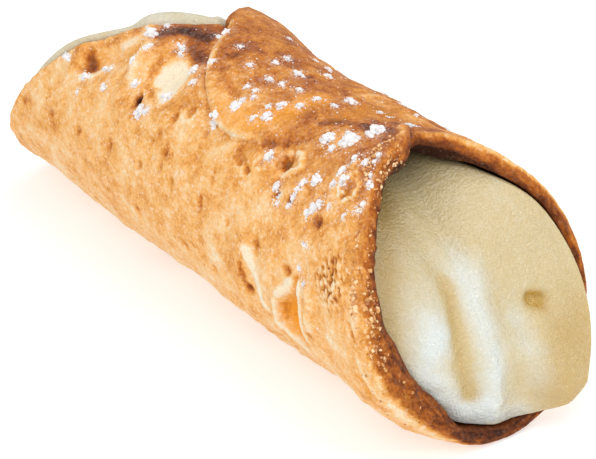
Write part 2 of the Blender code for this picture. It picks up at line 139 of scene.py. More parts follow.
# Marks on the cream, each along a path of (y, height): (path, half width, amount). The last two
# smears ease its fold under the torn corner.
GROOVE = ((-3.5, 19.5), (-4.3, 16.5), (-5, 13.5), (-4.4, 9))
SMEARS = (
    (((-2.6, 24.5), (-2.7, 22), *GROOVE), 1.9, -1),
    (((3, 26.5), (1.2, 22.5), (0.6, 17.5), (-0.2, 13), (-1.6, 8)), 2.6, 0.7),
    (((-7.5, 20), (-9.8, 17.5), (-10.5, 13.5), (-8.5, 10)), 3, 0.6),
    (((10.4, 18.4), (12, 18)), 1.2, -1.3), (((7.5, 17), (5.8, 12), (5, 7)), 2.4, -0.5),
    (((13, 11), (12, 6)), 3, 0.5), (((-9, 31), (-2, 35)), 4, -2.4),
    (((-4.2, 32), (-3, 27.5)), 3, -1.3), (((2.5, 32.5), (2.2, 29)), 2.5, 1),
)
# Where the cream is whiter and where it is darker yellow, on its near face and then its far one.
# Some darker yellow is painted shade: over the near face's lower right, along its left edge under
# the rim and along its top edge under the torn corner.
CREAM_WHITES = ((
    (((1.2, 23.5), (0.4, 21), (0.4, 17), (0, 13), (-1.5, 8)), 2.7, 0.85),
    (((-7.5, 18.5), (-10, 16.5), (-11, 14), (-9, 10), (-5.5, 5)), 3.2, 0.9),
    (((-5, 4.5), (4, 3.5)), 2.4, 0.7), (((6.5, 17), (7.5, 9)), 2.4, 0.4),
    (((-6, 24), (-9, 21)), 3.5, 0.2), (((-2.7, 23), *GROOVE), 1.1, -0.9),
), ((((-4, 36), (-8, 30), (-7, 20), (-9, 11)), 3.5, 0.5), (((6, 27), (9, 16)), 4, 0.5)))
CREAM_AMBERS_AND_SHADE = ((
    (((10.7, 18.5), (11.7, 18.2)), 1.2, 1.6),
    # The second mark here is painted shade over the lower right
    (((12.5, 14), (10.5, 11), (8.3, 7.5)), 2.6, 0.35), (((17.5, 15), (15, 8), (11, 4)), 4.5, 0.5),
    (((-2.7, 23), *GROOVE), 1.1, 0.5),
    # Painted shade along the left edge under the rim, then along the top edge under the torn corner
    (((-3, 32.5), (-8, 29.5), (-12.5, 25.5), (-15.5, 20), (-16, 15)), 2, 0.6),
    (((-1, 34.5), (3, 36), (7, 36.8)), 1, 0.6),
), ((((1, 30), (0, 20), (2, 10)), 1.8, 0.3), (((14, 24), (13, 14)), 3, 0.25)))
CREAM_FAR_WHITENESS = 0.3
NEAR_FACE_BEGINS = 20

# Marks on the crust, each along a path of (x, angle): (path, half width, height, toast), and amber
# for some. Some marks' toast is painted light: painted shade on dent walls and under the flap's
# step, and painted highlights along lit edges.
STROKES = (
    # The far dent, with its amber floor and pale lips, its walls darkened as painted shade and a
    # painted highlight on its lit slope
    (((-31.4, 46), (-27.6, 38), (-25.6, 30)), 1.7, -0.3, 0, 0.3),
    (((-28.4, 34), (-26.2, 28)), 0.8, 0, -0.3), (((-34.3, 45), (-32.6, 53)), 0.8, -0.4, 0.4),
    (((-32.4, 48), (-31.4, 52)), 0.6, 0, 0.3), (((-35.4, 47), (-33.3, 54)), 0.6, 0.35, 0.08),
    (((-36.6, 51), (-33.5, 56)), 0.7, 0, 0.16), (((-32.7, 58), (-30.3, 55)), 0.7, 0.3, -0.4),
    (((-29.7, 51), (-28.3, 45)), 0.6, 0.3, -0.2),
    (((-36.6, 47), (-33.2, 39), (-29.9, 32), (-27.9, 24)), 0.7, 0.3, 0.12),
    # The dent beside the flap; its floor is paler, partly as a painted highlight where light falls
    # into it, and its left wall is darkened as painted shade
    (((-15.4, 27), (-15.4, 36)), 2, -0.2, -0.6), (((-13.2, 30), (-11.8, 42)), 1.9, -0.2, -0.6),
    (((-18.6, 31), (-18.1, 39), (-17.3, 44), (-14.8, 47), (-12.8, 48)), 0.7, -0.35, 0.2),
    (((-16.6, 50.5), (-16.9, 54)), 0.7, -0.5, 0.42),
    (((-23.3, 18), (-20.3, 11), (-15.8, 6)), 1.6, 0, 0.32), (((-15.2, 16), (-11.5, 18)), 1.5, 0, 0.2),
    (((-21, 23), (-19.5, 27)), 1, 0, 0.15),
    (((-26.6, 20), (-22.4, 31), (-22.2, 37), (-19.4, 46)), 0.9, 0.35, -0.2),
    (((-9.2, 46), (-3.8, 40)), 1.2, 0, 0.15), (((-5.8, 49), (-5.6, 50)), 0.7, -0.35, 0.26),
    # The flap
    (((-12.7, 3), (-11.2, 9), (-8.8, 17), (-7.1, 23)), 0.55, 0.2, -0.4),
    (((-8.3, 13), (-2.3, 25)), 1.5, 0, 0.08), (((-0.1, 23), (2.1, 27)), 0.9, -0.35, 0.2),
    (((3, 35), (7, 34.5), (10.5, 31), (12.2, 25), (13.6, 16), (14.2, 5)), 2.2, 0, -0.04, 0.7),
    # A painted highlight along the flap's lit edge
    (((3, 41), (5, 41), (7.1, 42), (9.3, 42), (11.4, 38), (13.9, 37)), 0.45, 0.2, -0.2),
    (((15, 37), (18.4, 31), (21, 25)), 0.9, -0.1, 0.18),
    # Painted shadow cast by the step at the flap's edge
    (((19.8, 15), (21.9, 7), (30.3, 9), (33.3, 7)), 0.7, 0, 0.2),
    (((19.8, 5), (20.6, -9), (23.8, -16)), 2, 0, 0.06, 0.5),
    (((15.7, -10), (15.4, -29), (20, -28)), 0.8, 0.2, -0.12),
    # The first of these is a painted highlight along the upper band's outer edge
    (((14, -19), (23, -22), (38, -26)), 2.2, 0, -0.2), (((14, 42), (26, 38), (38, 33)), 6, 0, 0.1),
    # The front panel's upper half
    (((34.2, 26), (33.7, 30), (33.9, 33)), 0.5, 0.2, -0.3), (((35.6, 28), (38.7, 34)), 0.8, 0.1, -0.14),
    (((21.7, 33), (23.3, 33), (24.9, 38), (23.5, 42), (22.3, 45)), 0.55, 0.6, -0.38),
    (((19.9, 37), (21.1, 43.5)), 1.1, -0.6, 0.3, 0.3), (((18.2, 43), (18.5, 48)), 0.9, 0, 0.12, 0.2),
    (((27, 50.6), (27.2, 51.4)), 0.4, -0.5, 0.6), (((11, 44), (11.6, 49), (13.7, 50)), 0.9, -0.15, 0.2),
    (((8.2, 61), (8.6, 61)), 0.4, 0.15, -0.15), (((15.4, 58), (15.8, 58)), 0.4, 0.15, -0.15),
    # The front panel's lower half
    (((6.7, 74), (7.1, 77)), 0.7, -0.3, 0.26),
    (((20.8, 81), (21.7, 86), (23.1, 94), (23.6, 101), (25.4, 105)), 0.8, 0.3, -0.42),
    (((19.6, 89), (20, 95), (20.5, 100)), 0.5, -0.25, 0.3), (((20.7, 102), (21.1, 102)), 0.6, -0.2, 0.2),
    (((30.2, 78), (30.9, 80)), 0.5, -0.35, 0.3), (((41.4, 91), (42, 91)), 0.9, 0, 0, 0.4),
    (((43.5, 96), (48, 94)), 0.9, 0.1, -0.12), (((49.5, 81), (49.5, 90)), 0.8, 0, -0.12),
    (((48.8, 80), (49.7, 83), (50.4, 85)), 0.3, -0.4, 0.35),
    (((51.2, 93), (52.7, 100), (53.9, 109)), 0.6, 0.2, -0.2),
    (((50.1, 102), (51.6, 104), (52, 111)), 0.6, -0.2, 0.08, 0.5),
    # The torn pocket, pale round its edge
    (((33.4, 79), (33.3, 90)), 0.5, -0.7, 0.2, 0.8),
    (((32.4, 94), (31.4, 99), (31.6, 105), (33.4, 109)), 2, -0.9, 0.08, 1.2),
    (((32, 101), (34.6, 104)), 1.3, -0.3, 0, 1), (((29.6, 98), (29.8, 106)), 0.4, -0.3, 0.3),
    (((37.8, 100), (38, 100)), 0.35, -0.2, 0.2), (((32, 83), (30.8, 88), (29, 92)), 0.8, 0.35, -0.4),
    (((28.4, 97), (28.6, 107), (30, 114), (33.4, 116)), 0.6, 0.3, -0.34),
    (((34.4, 80), (35.2, 86), (35.6, 96), (36.2, 105)), 0.7, 0.4, -0.34),
    (((36.5, 81), (38, 83), (38.3, 91), (38.7, 96)), 0.6, 0.35, -0.16),
    (((38.4, 77), (39.2, 79)), 0.5, 0, 0, 0.5),
    # The torn corner over the mouth
    (((34, 2), (35.6, 4), (36.2, 6.5)), 0.7, 0.2, -0.42),
)
STROKE_POWER = 1.4
STROKE_RAGGEDNESS = ((1.1, 0.3, 41), (2.4, 0.3, 42))
# Blisters that burst: (x, angle, half length, half width, depth, centre's toast, rim's paleness)
CRATERS = (
    (19.6, 39.5, 0.8, 1.4, 0.7, 0.34, 0.36), (12.4, 49.2, 0.7, 0.8, 0.4, 0, 0.3),
    (14.9, 51.5, 0.7, 0.6, 0.45, 0.24, 0.3), (23.9, 52.8, 0.6, 0.7, 0.5, 0.34, 0.46),
    (25.8, 22.7, 0.5, 0.45, 0.5, 0.6, 0.5), (33.9, 27, 0.7, 0.6, 0.4, 0.24, 0.3),
    (37, 35, 1.3, 1.2, 0.4, 0.1, 0.4), (36.9, 39, 0.6, 0.5, 0.4, 0.4, 0.4),
    (35.4, 52.4, 0.6, 0.9, 0.4, 0.34, 0.1), (-16.9, 51.8, 0.8, 1, 0.5, 0.4, 0.16),
    (-3.5, 44, 0.9, 1.1, 0.3, 0.18, 0.2), (16.2, 45.6, 0.8, 0.7, 0.35, 0.2, 0.3),
)
CRATER_RAGGEDNESS = ((0.8, 0.5, 43),)
# A crater's lip, for the crater's size and depth, and how broken it is
LIP_REACH, LIP_WIDTH, LIP_HEIGHT = 1.35, 0.3, 0.35
LIP_WHOLENESS, LIP_BREAKS = 0.6, ((1.6, 2.5, 44),)
# Freckles, small pits that browned darker: (x, angle)
FRECKLES = (
    (-47.1, 86), (-37.6, 82), (-28.7, 81), (-19.3, 79), (-10.2, 78), (-4.8, 72), (-0.9, 75), (-7.2, 59),
    (2.2, 48), (14.7, 76), (22.6, 77), (31.3, 78), (3.4, 102), (10.9, 105), (-11, 101), (21, 101),
    (34.5, 52), (23.2, 54), (-4.6, 65), (8.5, 61),
)
FRECKLE_SIZES, FRECKLE_WIDER = (0.55, 0.9), 1.3
# The side where only the freckles above are pits
SEEN_SIDE = (15, 125)
PIT_DEPTH, PIT_POWER = 0.3, 1.5
BUBBLE_POWER = 1.6
# The porous patch on the near blister: (x, angle, half width)
POROUS = (42.6, 70, 3.8)
PORE_SIZE, PORE_DEPTH, PORE_SEED = 0.6, 0.4, 7
CRUST_GRAIN = ((3.4, 0.18, 1), (1.7, 0.12, 2), (1, 0.08, 3))
# The flap's worn edge and the gap under it
EDGE_WIDTH, GAP_WIDTH = 0.5, 0.7
EDGE_WEAR, GAP_DEPTH = 0.22, 0.25
# The rims' torn faces, rougher where the mouth's rim is torn most
RIM_GRAIN = ((2.2, 0.5, 11), (1.1, 0.4, 12), (0.6, 0.25, 13))
NEAR_ROUGHNESS, TORN_ROUGHNESS, FAR_ROUGHNESS = 0.5, 0.7, 0.6
BORE_GRAIN, BORE_GRAIN_LOWEST = ((2, 0.18, 15),), -0.1

# How brown the crust is, from 0 to 1: everywhere, on top, below, and at its marks
TOAST, TOP_TOAST, LOW_TOAST = 0.29, 0.32, -0.04
PIT_TOAST, PIT_TOAST_POWER = 0.26, 1.3
PORE_TOAST, PORE_WALL_TOAST = 0.5, -0.34
MOUTH_TOAST, MOUTH_TOAST_LENGTH = 0.12, 5
# The last of these darkens the crust in the gap under the flap's edge, as painted shade.
EDGE_TOAST, BROKEN_EDGE_TOAST, GAP_PAINTED_SHADE = 0.1, -0.12, 0.1
# The flap's edge is brown from this share of the tube's length on, and before it pale where broken
EDGE_BROWN_FROM, EDGE_BREAKS = 0.6, ((2.6, 3, 23),)
TOAST_GRAIN = ((1.7, -0.07, 2), (3.4, -0.06, 1), (6, 0.12, 21), (2.6, 0.1, 22))
# How brown the mouth's rim is: (angle, toast) at its outer edge, along its middle and at its inner edge.
# Its outer edge is paler between about -60 and -25 degrees as a painted highlight, and its inner
# edge is darkest as painted shade, where the rim meets the cream and in the hollow under the torn corner.
RIM_TOAST_AND_PAINTED_LIGHT = (
    ((-180, 0.5), (-150, 0.36), (-60, 0.2), (-25, 0.28), (-8, 0.6), (2, 0.6), (45, 0.55), (70, 0.48),
     (88, 0.34), (105, 0.14), (135, 0.14), (160, 0.4), (180, 0.5)),
    ((-180, 0.85), (-150, 0.72), (-60, 0.62), (-30, 0.66), (-16, 0.78), (-4, 0.85), (10, 0.72), (40, 0.7),
     (65, 0.7), (85, 0.7), (105, 0.7), (135, 0.72), (160, 0.8), (180, 0.85)),
    ((-180, 0.95), (-150, 0.88), (-60, 0.82), (-35, 0.88), (-18, 1), (0, 1), (40, 0.9), (70, 0.84),
     (90, 0.8), (110, 0.78), (135, 0.8), (160, 0.9), (180, 0.95)),
)
RIM_MIDDLE = 0.3
RIM_TOAST_GRAIN = ((2, 0.16, 17), (0.9, 0.12, 18))
# Painted shade, darkening the rim's inner edge over the hollow under the torn corner
POCKET_PAINTED_SHADE, POCKET_PAINTED_SHADE_FROM, POCKET_PAINTED_SHADE_FULL = 0.5, 0.4, 0.55
FAR_RIM_TOAST = 0.5
# How brown the bore is round it; darkest under the torn corner, as painted shade in the hollow there
BORE_TOAST_AND_SHADE = (
    (-180, 0.85), (-140, 0.84), (-60, 0.84), (-35, 0.9), (-15, 1), (20, 1), (60, 0.88), (100, 0.78),
    (135, 0.78), (155, 0.82), (180, 0.85),
)
# Painted shade, darkening the bore further in from the mouth
DEEP_BORE_PAINTED_SHADE, DEEP_BORE_FROM = 0.15, 6

# Clumps of powdered sugar: (x, angle, half length along the tube, half width round it)
CLUMPS = (
    (31.5, 10, 1.7, 1.15), (29.5, 19, 1.4, 1.25), (27.7, 16, 0.7, 0.55), (25.2, 22, 1.15, 0.95),
    (27.7, 25, 0.6, 0.6), (37, 19, 0.45, 0.5), (37.6, 22, 0.45, 0.45), (36.3, 24, 0.55, 0.5),
    (38.9, 27, 0.45, 0.45), (40, 30, 0.5, 0.45), (41.7, 38, 0.45, 0.5), (41.7, 40.5, 0.4, 0.45),
    (34.2, 25, 0.5, 0.8), (33.8, 31, 0.55, 1), (35.4, 34, 0.8, 0.8), (33.9, 37, 0.6, 0.5),
    (29.8, 39, 0.95, 0.8), (27.8, 43, 0.7, 0.7), (27.4, 46, 0.6, 0.65), (27.5, 50, 0.55, 0.7),
    (33.3, 46.5, 0.65, 0.75), (32.6, 49, 0.8, 1), (31.9, 52, 0.6, 0.65), (27.4, 54, 0.5, 0.5),
    (22.6, 50, 0.8, 0.75), (23.9, 53, 0.5, 0.55), (24.9, 55.5, 0.45, 0.45), (17.1, 41, 0.75, 0.95),
    (35.6, 45, 0.4, 0.45), (39.6, 45, 0.4, 0.5), (-24.3, 14, 0.7, 0.6), (-17.8, 19, 1, 0.55),
    (-17, 21.5, 0.6, 0.5), (-21.7, 29, 0.5, 0.9), (-21.9, 38, 0.55, 0.7), (-18.9, 46, 0.55, 0.85),
    (-31.6, 56, 1.2, 0.65), (-25.5, 56, 0.7, 0.75), (-28.5, 48, 0.9, 0.45), (-31.8, 65, 0.4, 0.5),
    (-14.6, 55.5, 0.9, 1.3), (-12.9, 54, 0.6, 0.7), (-11.6, 43, 1, 0.9), (-8.5, 31, 0.7, 0.75),
    (-11, 25, 1, 0.9), (-7.3, 20, 0.5, 0.6), (2.3, 41, 1, 1.1), (-12.1, 4, 0.6, 0.9),
    (-6.7, 6, 0.6, 0.45), (-1.3, 11, 0.6, 0.45), (0.4, 1, 0.7, 0.5), (0.3, -5, 0.6, 0.45),
    (5.5, -1, 1.1, 0.75), (4, 11, 0.85, 0.5), (6.8, 10, 0.7, 0.5), (9.9, 7, 0.65, 0.5),
    (2.2, 20, 0.5, 0.55), (4.5, 20, 0.7, 0.5), (5.7, 23, 0.5, 0.5), (4.6, 27, 0.6, 0.6),
    (4.3, 31, 0.8, 1), (9.2, 31, 0.6, 0.65), (11.2, 27, 0.95, 0.85), (11.3, 19, 0.6, 0.9),
    (9.6, 23, 0.5, 0.5), (13.7, 14, 0.7, 0.6), (14.3, 6, 0.7, 0.55), (17.2, 3, 0.55, 0.5),
    (17.1, -6, 1.15, 0.7), (35.7, 79, 0.5, 0.5), (33.6, 74, 0.45, 0.4), (-38.3, 53.5, 1.1, 0.7),
    (-27.3, 46.5, 0.6, 0.5), (-13.7, 3, 1.4, 0.5), (-24.9, 22, 1.3, 1), (-14.2, 55.4, 0.8, 0.7),
    (33.9, 63.5, 0.7, 0.4), (40.9, 30.5, 0.4, 0.5),
)
MORE_CLUMPS = 24
MORE_CLUMP_ANGLES = (-62, -10)
MORE_CLUMP_SHARES = (0.08, 0.92)
MORE_CLUMP_SIZES, MORE_CLUMP_WIDTHS = (0.35, 0.85), (0.6, 1)
CLUMP_HEIGHT, CLUMP_DOME = 0.8, 0.6
CLUMP_SINKS = 0.2
CLUMP_UNEVENNESS = 0.35
LUMPS_AT_LEAST, LUMPS_BY_AREA = 8, 9
MAIN_LUMP = 0.74
LUMP_SHARES = (0.24, 0.44)
LUMP_REACH = (0.4, 1.05)
LUMP_NOISE_SIZE = 0.8
# Shapes for their size: (length, least and most width, least and most height, unevenness)
GRAIN_SHAPE, CRUMB_SHAPE = (1, (0.6, 1), (0.5, 0.8), 0.5), (0.8, (0.6, 1), (0.6, 1), 0.7)
GRAINS, GRAIN_SIZES = 1700, (0.06, 0.18)
GRAIN_MIDDLE_ANGLE, GRAIN_ANGLE_SPREAD = 18, 24
GRAINS_BY_CLUMPS = 0.86
# How far grains stray from a clump, and more for its half width
GRAINS_STRAY, GRAINS_STRAY_MORE = 0.2, 0.6
GRAINS_OFF_RIM, GRAINS_RISE = 0.5, 0.02
# Fine sugar in the crust's grain, along the top and round the clumps
DUST, DUST_ANGLE_SPREAD = 0.06, 1.3 * GRAIN_ANGLE_SPREAD
CLUMP_DUST, CLUMP_DUST_REACH = 0.45, 0.5
CRUMBS, CRUMB_SIZES = 540, (0.14, 0.6)
CRUMB_SINKS, CRUMB_ROOM = 0.1, 1.3
# Half of the crumbs lie (least, most, likeliest) share of the way across the rim, and half on the
# crust (least, most) behind it
CRUMBS_ACROSS, CRUMB_BAND = (0, 0.75, 0.25), (1.1, 2.8)
# Where the rim is crumbly: (middle angle, spread, share of the crumbs, size of its crumbs)
CRUMB_PLACES = (
    (72, 6, 0.28, 1), (87, 6, 0.16, 0.85), (112, 14, 0.04, 0.6), (42, 18, 0.24, 0.6),
    (20, 6, 0.28, 0.75),
)

# Mesh fineness
FRONT_COLUMNS, BACK_COLUMNS = 196, 108
SHELL_ROWS = 240
STEP_HALF_ANGLE = 0.3
RIM_ROWS = 14
THINNEST = 0.5
BORE_ROWS, BORE_ROW_POWER = 18, 1.5
BORE_FINE_LENGTH, BORE_FINE_SHARE = 16.0, 0.45
CREAM_COLUMNS = 320
CREAM_NEAR_RINGS, CREAM_FAR_RINGS = 112, 26
CREAM_BORE_ROWS, CREAM_BORE_BEGINS = 11, 0.2

# The photograph's camera and frame
IMAGE_WIDTH = 596
FOCAL_PIXELS = 2475
CAMERA_DISTANCE = 0.4
CAMERA_ROUND, CAMERA_ABOVE = 35.6, 28.0
AIM_X, AIM_HEIGHT = 6.0, 20.5
AIM_ABOVE_MIDDLE = 39
CLIP_START, CLIP_END = 0.01, 20

# Soft lights: (name, direction that it comes from, width, power, colour)
WHITE = (1.0, 1.0, 1.0)
LIGHTS = (
    ("key", (0.42, -0.7, 0.72), 0.55, 2.05, (1.0, 0.98, 0.95)), ("top", (0.3, 0.1, 1.1), 0.4, 1.1, WHITE),
    ("back_top", (-0.4, 0.6, 0.8), 0.4, 0.7, WHITE), ("gloss", (0.76, 0.36, 0.5), 0.07, 0.55, WHITE),
)
LIGHT_AIM, LIGHT_DISTANCE = (0.005, 0.0, 0.02), 0.7
SKY_STRENGTH = 0.66
FLOOR_COLOR, FLOOR_GLOW = (0.6, 0.6, 0.6), 0.5
FLOOR_HALF_WIDTH = 3.0

# Colours, the crust's from pale to dark and the crumbs' from dark to pale
CRUST_COLORS = (
    (0.0, (0.88, 0.77, 0.57)), (0.15, (0.88, 0.59, 0.3)), (0.3, (0.86, 0.45, 0.14)),
    (0.42, (0.74, 0.32, 0.065)), (0.55, (0.58, 0.205, 0.028)), (0.68, (0.4, 0.106, 0.01)),
    (0.82, (0.18, 0.043, 0.008)), (1.0, (0.043, 0.009, 0.003)),
)
CRUMB_COLORS = (
    (0.0, (0.42, 0.15, 0.04)), (0.4, (0.72, 0.36, 0.12)), (0.7, (0.88, 0.6, 0.32)),
    (1.0, (0.92, 0.76, 0.52)),
)
# The pale specks on the crust are partly pale dough and partly painted glints
AMBER, PALE_SPECK_AND_GLINT = (0.84, 0.33, 0.02), (0.93, 0.7, 0.49)
SUGAR_WHITE, SUGAR_SHADE = (0.97, 0.95, 0.94), (0.84, 0.79, 0.82)
CREAM_BEIGE, CREAM_WHITE, CREAM_AMBER_AND_SHADE = (0.59, 0.475, 0.25), (0.66, 0.7, 0.67), (0.46, 0.27, 0.035)
STREAKS_TURNED = (math.radians(35), 0, 0)


def smooth(value, start=0.0, end=1.0):
    """Ease from 0 at the start to 1 at the end."""
    t = np.clip((value - start) / (end - start), 0.0, 1.0)
    return t * t * (3 - 2 * t)


def through(points, at):
    """Values at some positions on a smooth curve through a short list of (position, value)."""
    xs, ys = np.array(points, float).T
    at = np.clip(at, xs[0], xs[-1])
    i = np.clip(np.searchsorted(xs, at) - 1, 0, len(xs) - 2)
    before, after = np.maximum(i - 1, 0), np.minimum(i + 2, len(xs) - 1)
    span = xs[i + 1] - xs[i]
    t = (at - xs[i]) / span
    leave = (ys[i + 1] - ys[before]) / (xs[i + 1] - xs[before]) * span
    arrive = (ys[after] - ys[i]) / (xs[after] - xs[i]) * span
    return (ys[i] * (1 + 2 * t) * (1 - t) ** 2 + leave * t * (1 - t) ** 2
            + ys[i + 1] * t * t * (3 - 2 * t) - arrive * t * t * (1 - t))


def turn(angle):
    """The same direction as an angle from -180 to 180."""
    return (angle + 180) % 360 - 180


def bell(distance, spread):
    return np.exp(-(distance / spread) ** 2)


def zone(angle, middle, full_within, gone_beyond):
    """1 round an angle, easing to 0 away from it."""
    return smooth(np.abs(turn(angle - middle)), gone_beyond, full_within)


def round_tube(angle, start=0.0):
    """Millimetres round the tube from one angle to another."""
    return np.radians(turn(angle - start)) * RADIUS


def on_tube(x, angle, radius):
    """Points in metres, never lower than the flat that the tube rests on."""
    a = np.radians(angle)
    x, a, radius = np.broadcast_arrays(x, a, radius)
    height = np.maximum(AXIS_HEIGHT + radius * np.cos(a), 0.0)
    return np.stack([x + CENTRE_SHIFT, -radius * np.sin(a), height], axis=-1) * MM


def near_rim(angle, softened=0.0):
    """The slanted mouth's line; softening rounds off its sharp turn at the top."""
    swing = (np.sin(np.radians(angle / 2)) ** 2 + softened ** 2) ** (NEAR_RIM_POWER / 2)
    corner = CORNER * bell(turn(angle - CORNER_ANGLE), CORNER_SPREAD)
    reach = through(NEAR_RIM_REACH, turn(angle))
    return NEAR_NOTCH_X + (NEAR_TIP_X - NEAR_NOTCH_X) * swing + corner + reach


def far_rim(angle):
    swing = np.abs(np.sin(np.radians((angle - FAR_NOTCH_ANGLE) / 2)))
    return FAR_NOTCH_X + (FAR_TIP_X - FAR_NOTCH_X) * swing - through(FAR_RIM_REACH, turn(angle))


def between_rims(share, angle):
    return far_rim(angle) + (near_rim(angle) - far_rim(angle)) * share


def share_along(x, angle):
    return (x - far_rim(angle)) / (near_rim(angle) - far_rim(angle))


def calm(angle):
    """1 round most of the tube, easing to 0 along the underside that it rests on."""
    return 1 - smooth(np.abs(turn(angle)), CALM_BELOW, 180)


def flare(share, angle):
    sides = 1 - smooth(np.abs(turn(angle)), FLARE_FULL_TO, FLARE_GONE_AT)
    return FLARE * sides * smooth(share, FLARE_STARTS) ** 2


def past_flap_edge(share, angle):
    """Degrees past the flap's edge, counted towards the side that lies under it."""
    step = through(FLAP_STEP, share)
    past = turn(angle - through(FLAP_EDGE, share))
    return np.where(step > 0, past, -past)


def flap(share, angle):
    """How far the overlap lifts the surface."""
    past = past_flap_edge(share, angle)
    lift = np.abs(through(FLAP_STEP, share)) * (1 - smooth(np.abs(past) / FLAP_FADES_OVER))
    return np.where(past > 0, 0.0, lift)


def spots(x, angle, marks, power=1.0):
    """The sum of rounded marks on the crust: (x, angle, half length, half width, amount)."""
    total = np.zeros(np.broadcast(x, angle).shape)
    for at_x, at_angle, length, width, amount in marks:
        aside = round_tube(angle, at_angle) / width
        total += amount * np.exp(-(((x - at_x) / length) ** 2 + aside ** 2) ** power)
    return total


def distance_to_path(u, v, path):
    """How far each point (u, v) is from a path of such points."""
    nearest = np.full(np.broadcast(u, v).shape, 1e9)
    for (au, av), (bu, bv) in zip(path, path[1:]):
        du, dv = bu - au, bv - av
        t = np.clip(((u - au) * du + (v - av) * dv) / (du * du + dv * dv), 0, 1)
        nearest = np.minimum(nearest, np.hypot(u - au - t * du, v - av - t * dv))
    return nearest


def along_paths(u, v, marks):
    return sum(amount * bell(distance_to_path(u, v, path), half_width)
               for path, half_width, amount in marks)


def noise_at(points, size, seed=0):
    """Noise at an array of points in millimetres, with features of that size."""
    flat = np.reshape(points, (-1, 3)) / size + seed * 7.31
    values = np.array([noise.noise(p) for p in flat.tolist()])
    return values.reshape(np.shape(points)[:-1])


def grain(points, layers):
    return sum(amount * noise_at(points, size, seed) for size, amount, seed in layers)


def places(x, angle, radius=RADIUS):
    """Points round the tube's axis, in millimetres, to read noise at."""
    a = np.radians(angle)
    return np.stack(np.broadcast_arrays(x, radius * np.sin(a), radius * np.cos(a)), axis=-1)


def stroke_marks(x, angle):
    """The height, toast and amber of the strokes and craters, their edges a little ragged."""
    height, toast_and_painted_light, amber = (np.zeros(np.broadcast(x, angle).shape) for _ in range(3))
    at = places(x, angle)
    ragged = grain(at, STROKE_RAGGEDNESS)
    for path, half_width, tall, browner, *ambers in STROKES:
        unrolled = [(at_x, math.radians(at_angle) * RADIUS) for at_x, at_angle in path]
        away = np.maximum(distance_to_path(x, round_tube(angle), unrolled) + ragged, 0)
        mark = np.exp(-(away / half_width) ** (2 * STROKE_POWER))
        height += tall * mark
        toast_and_painted_light += browner * mark
        for more in ambers:
            amber = np.maximum(amber, more * mark)
    torn = grain(at, CRATER_RAGGEDNESS)
    whole = smooth(LIP_WHOLENESS + grain(at, LIP_BREAKS))
    for at_x, at_angle, length, width, depth, browner, paler in CRATERS:
        away = np.hypot((x - at_x) / length, round_tube(angle, at_angle) / width) + ragged / 2 + torn
        hollow = np.exp(-np.maximum(away, 0) ** 4)
        lip = whole * bell(away - LIP_REACH, LIP_WIDTH)
        height += depth * (LIP_HEIGHT * lip - hollow)
        toast_and_painted_light += browner * hollow - paler * lip
    return height, toast_and_painted_light, amber


def rim_distance(x, angle):
    return np.maximum(np.minimum(near_rim(angle) - x, x - far_rim(angle)), 0)


def curl(x, angle):
    depth = through(NEAR_RIM_CURL, turn(angle))
    return depth * np.maximum(1 - (near_rim(angle) - x) / CURL_LENGTH, 0) ** 2


def body_radius(x, angle):
    """The crust's form as the solid has it."""
    share = share_along(x, angle)
    waves = WAVE_HEIGHT * calm(angle) * noise_at(places(x, angle), WAVE_LENGTH)
    lift = flare(share, angle) + flap(share, angle) + spots(x, angle, BLISTERS)
    return RADIUS + lift + waves - curl(x, angle)


def scattered_marks(seed, count, sizes, amounts):
    """Small marks all over the crust, by a seeded draw."""
    draw = random.Random(seed)
    marks = []
    while len(marks) < count:
        angle = draw.uniform(-180, 180)
        x = draw.uniform(FAR_TIP_X, NEAR_TIP_X)
        size = draw.uniform(*sizes)
        if float(rim_distance(x, angle)) < size:
            continue
        marks.append((x, angle, size * draw.uniform(0.7, 1.0), size * draw.uniform(0.9, 1.6),
                      draw.uniform(*amounts)))
    return marks


BUBBLES = scattered_marks(3, 190, (0.8, 2.2), (0.1, 0.34))
HOLLOWS = scattered_marks(4, 120, (0.9, 2.2), (0.08, 0.22))
freckle_draw = random.Random(29).uniform
PITS = [(x, angle, freckle_draw(*FRECKLE_SIZES), freckle_draw(*FRECKLE_SIZES) * FRECKLE_WIDER, 1.0)
        for x, angle in FRECKLES]
PITS += [mark for mark in scattered_marks(5, 100, (0.5, 1.1), (0.5, 1.0))
         if not SEEN_SIDE[0] < mark[1] < SEEN_SIDE[1]]


def pores(x, angle):
    """How deep in a pore of the porous patch a place is, and how high between them, from 0 to 1."""
    at_x, at_angle, half_width = POROUS
    patch = spots(x, angle, ((at_x, at_angle, half_width, half_width, 1.0),), 2)
    pitted = noise_at(places(x, angle), PORE_SIZE, PORE_SEED)
    return patch * smooth(pitted, 0.08, 0.33), patch * smooth(-pitted, 0.05, 0.35)


def step_marks(x, angle):
    """How close a place is to the flap's edge, on top of it and just under it."""
    share = share_along(x, angle)
    past = np.radians(past_flap_edge(share, angle)) * RADIUS
    step = np.abs(through(FLAP_STEP, share))
    return step * bell(past, EDGE_WIDTH) * (past < 0), step * bell(past, GAP_WIDTH) * (past >= 0)


def crust_detail(x, angle, stroke_height):
    """Bubbles, pits, strokes and grain that the solid leaves out."""
    detail = spots(x, angle, BUBBLES, BUBBLE_POWER) - spots(x, angle, HOLLOWS) + stroke_height
    detail -= PIT_DEPTH * spots(x, angle, PITS, PIT_POWER) + PORE_DEPTH * pores(x, angle)[0]
    on_edge, under_edge = step_marks(x, angle)
    detail += grain(places(x, angle), CRUST_GRAIN) - EDGE_WEAR * on_edge - GAP_DEPTH * under_edge
    return detail * calm(angle)


def crust_radius(x, angle):
    return body_radius(x, angle) + crust_detail(x, angle, stroke_marks(x, angle)[0])


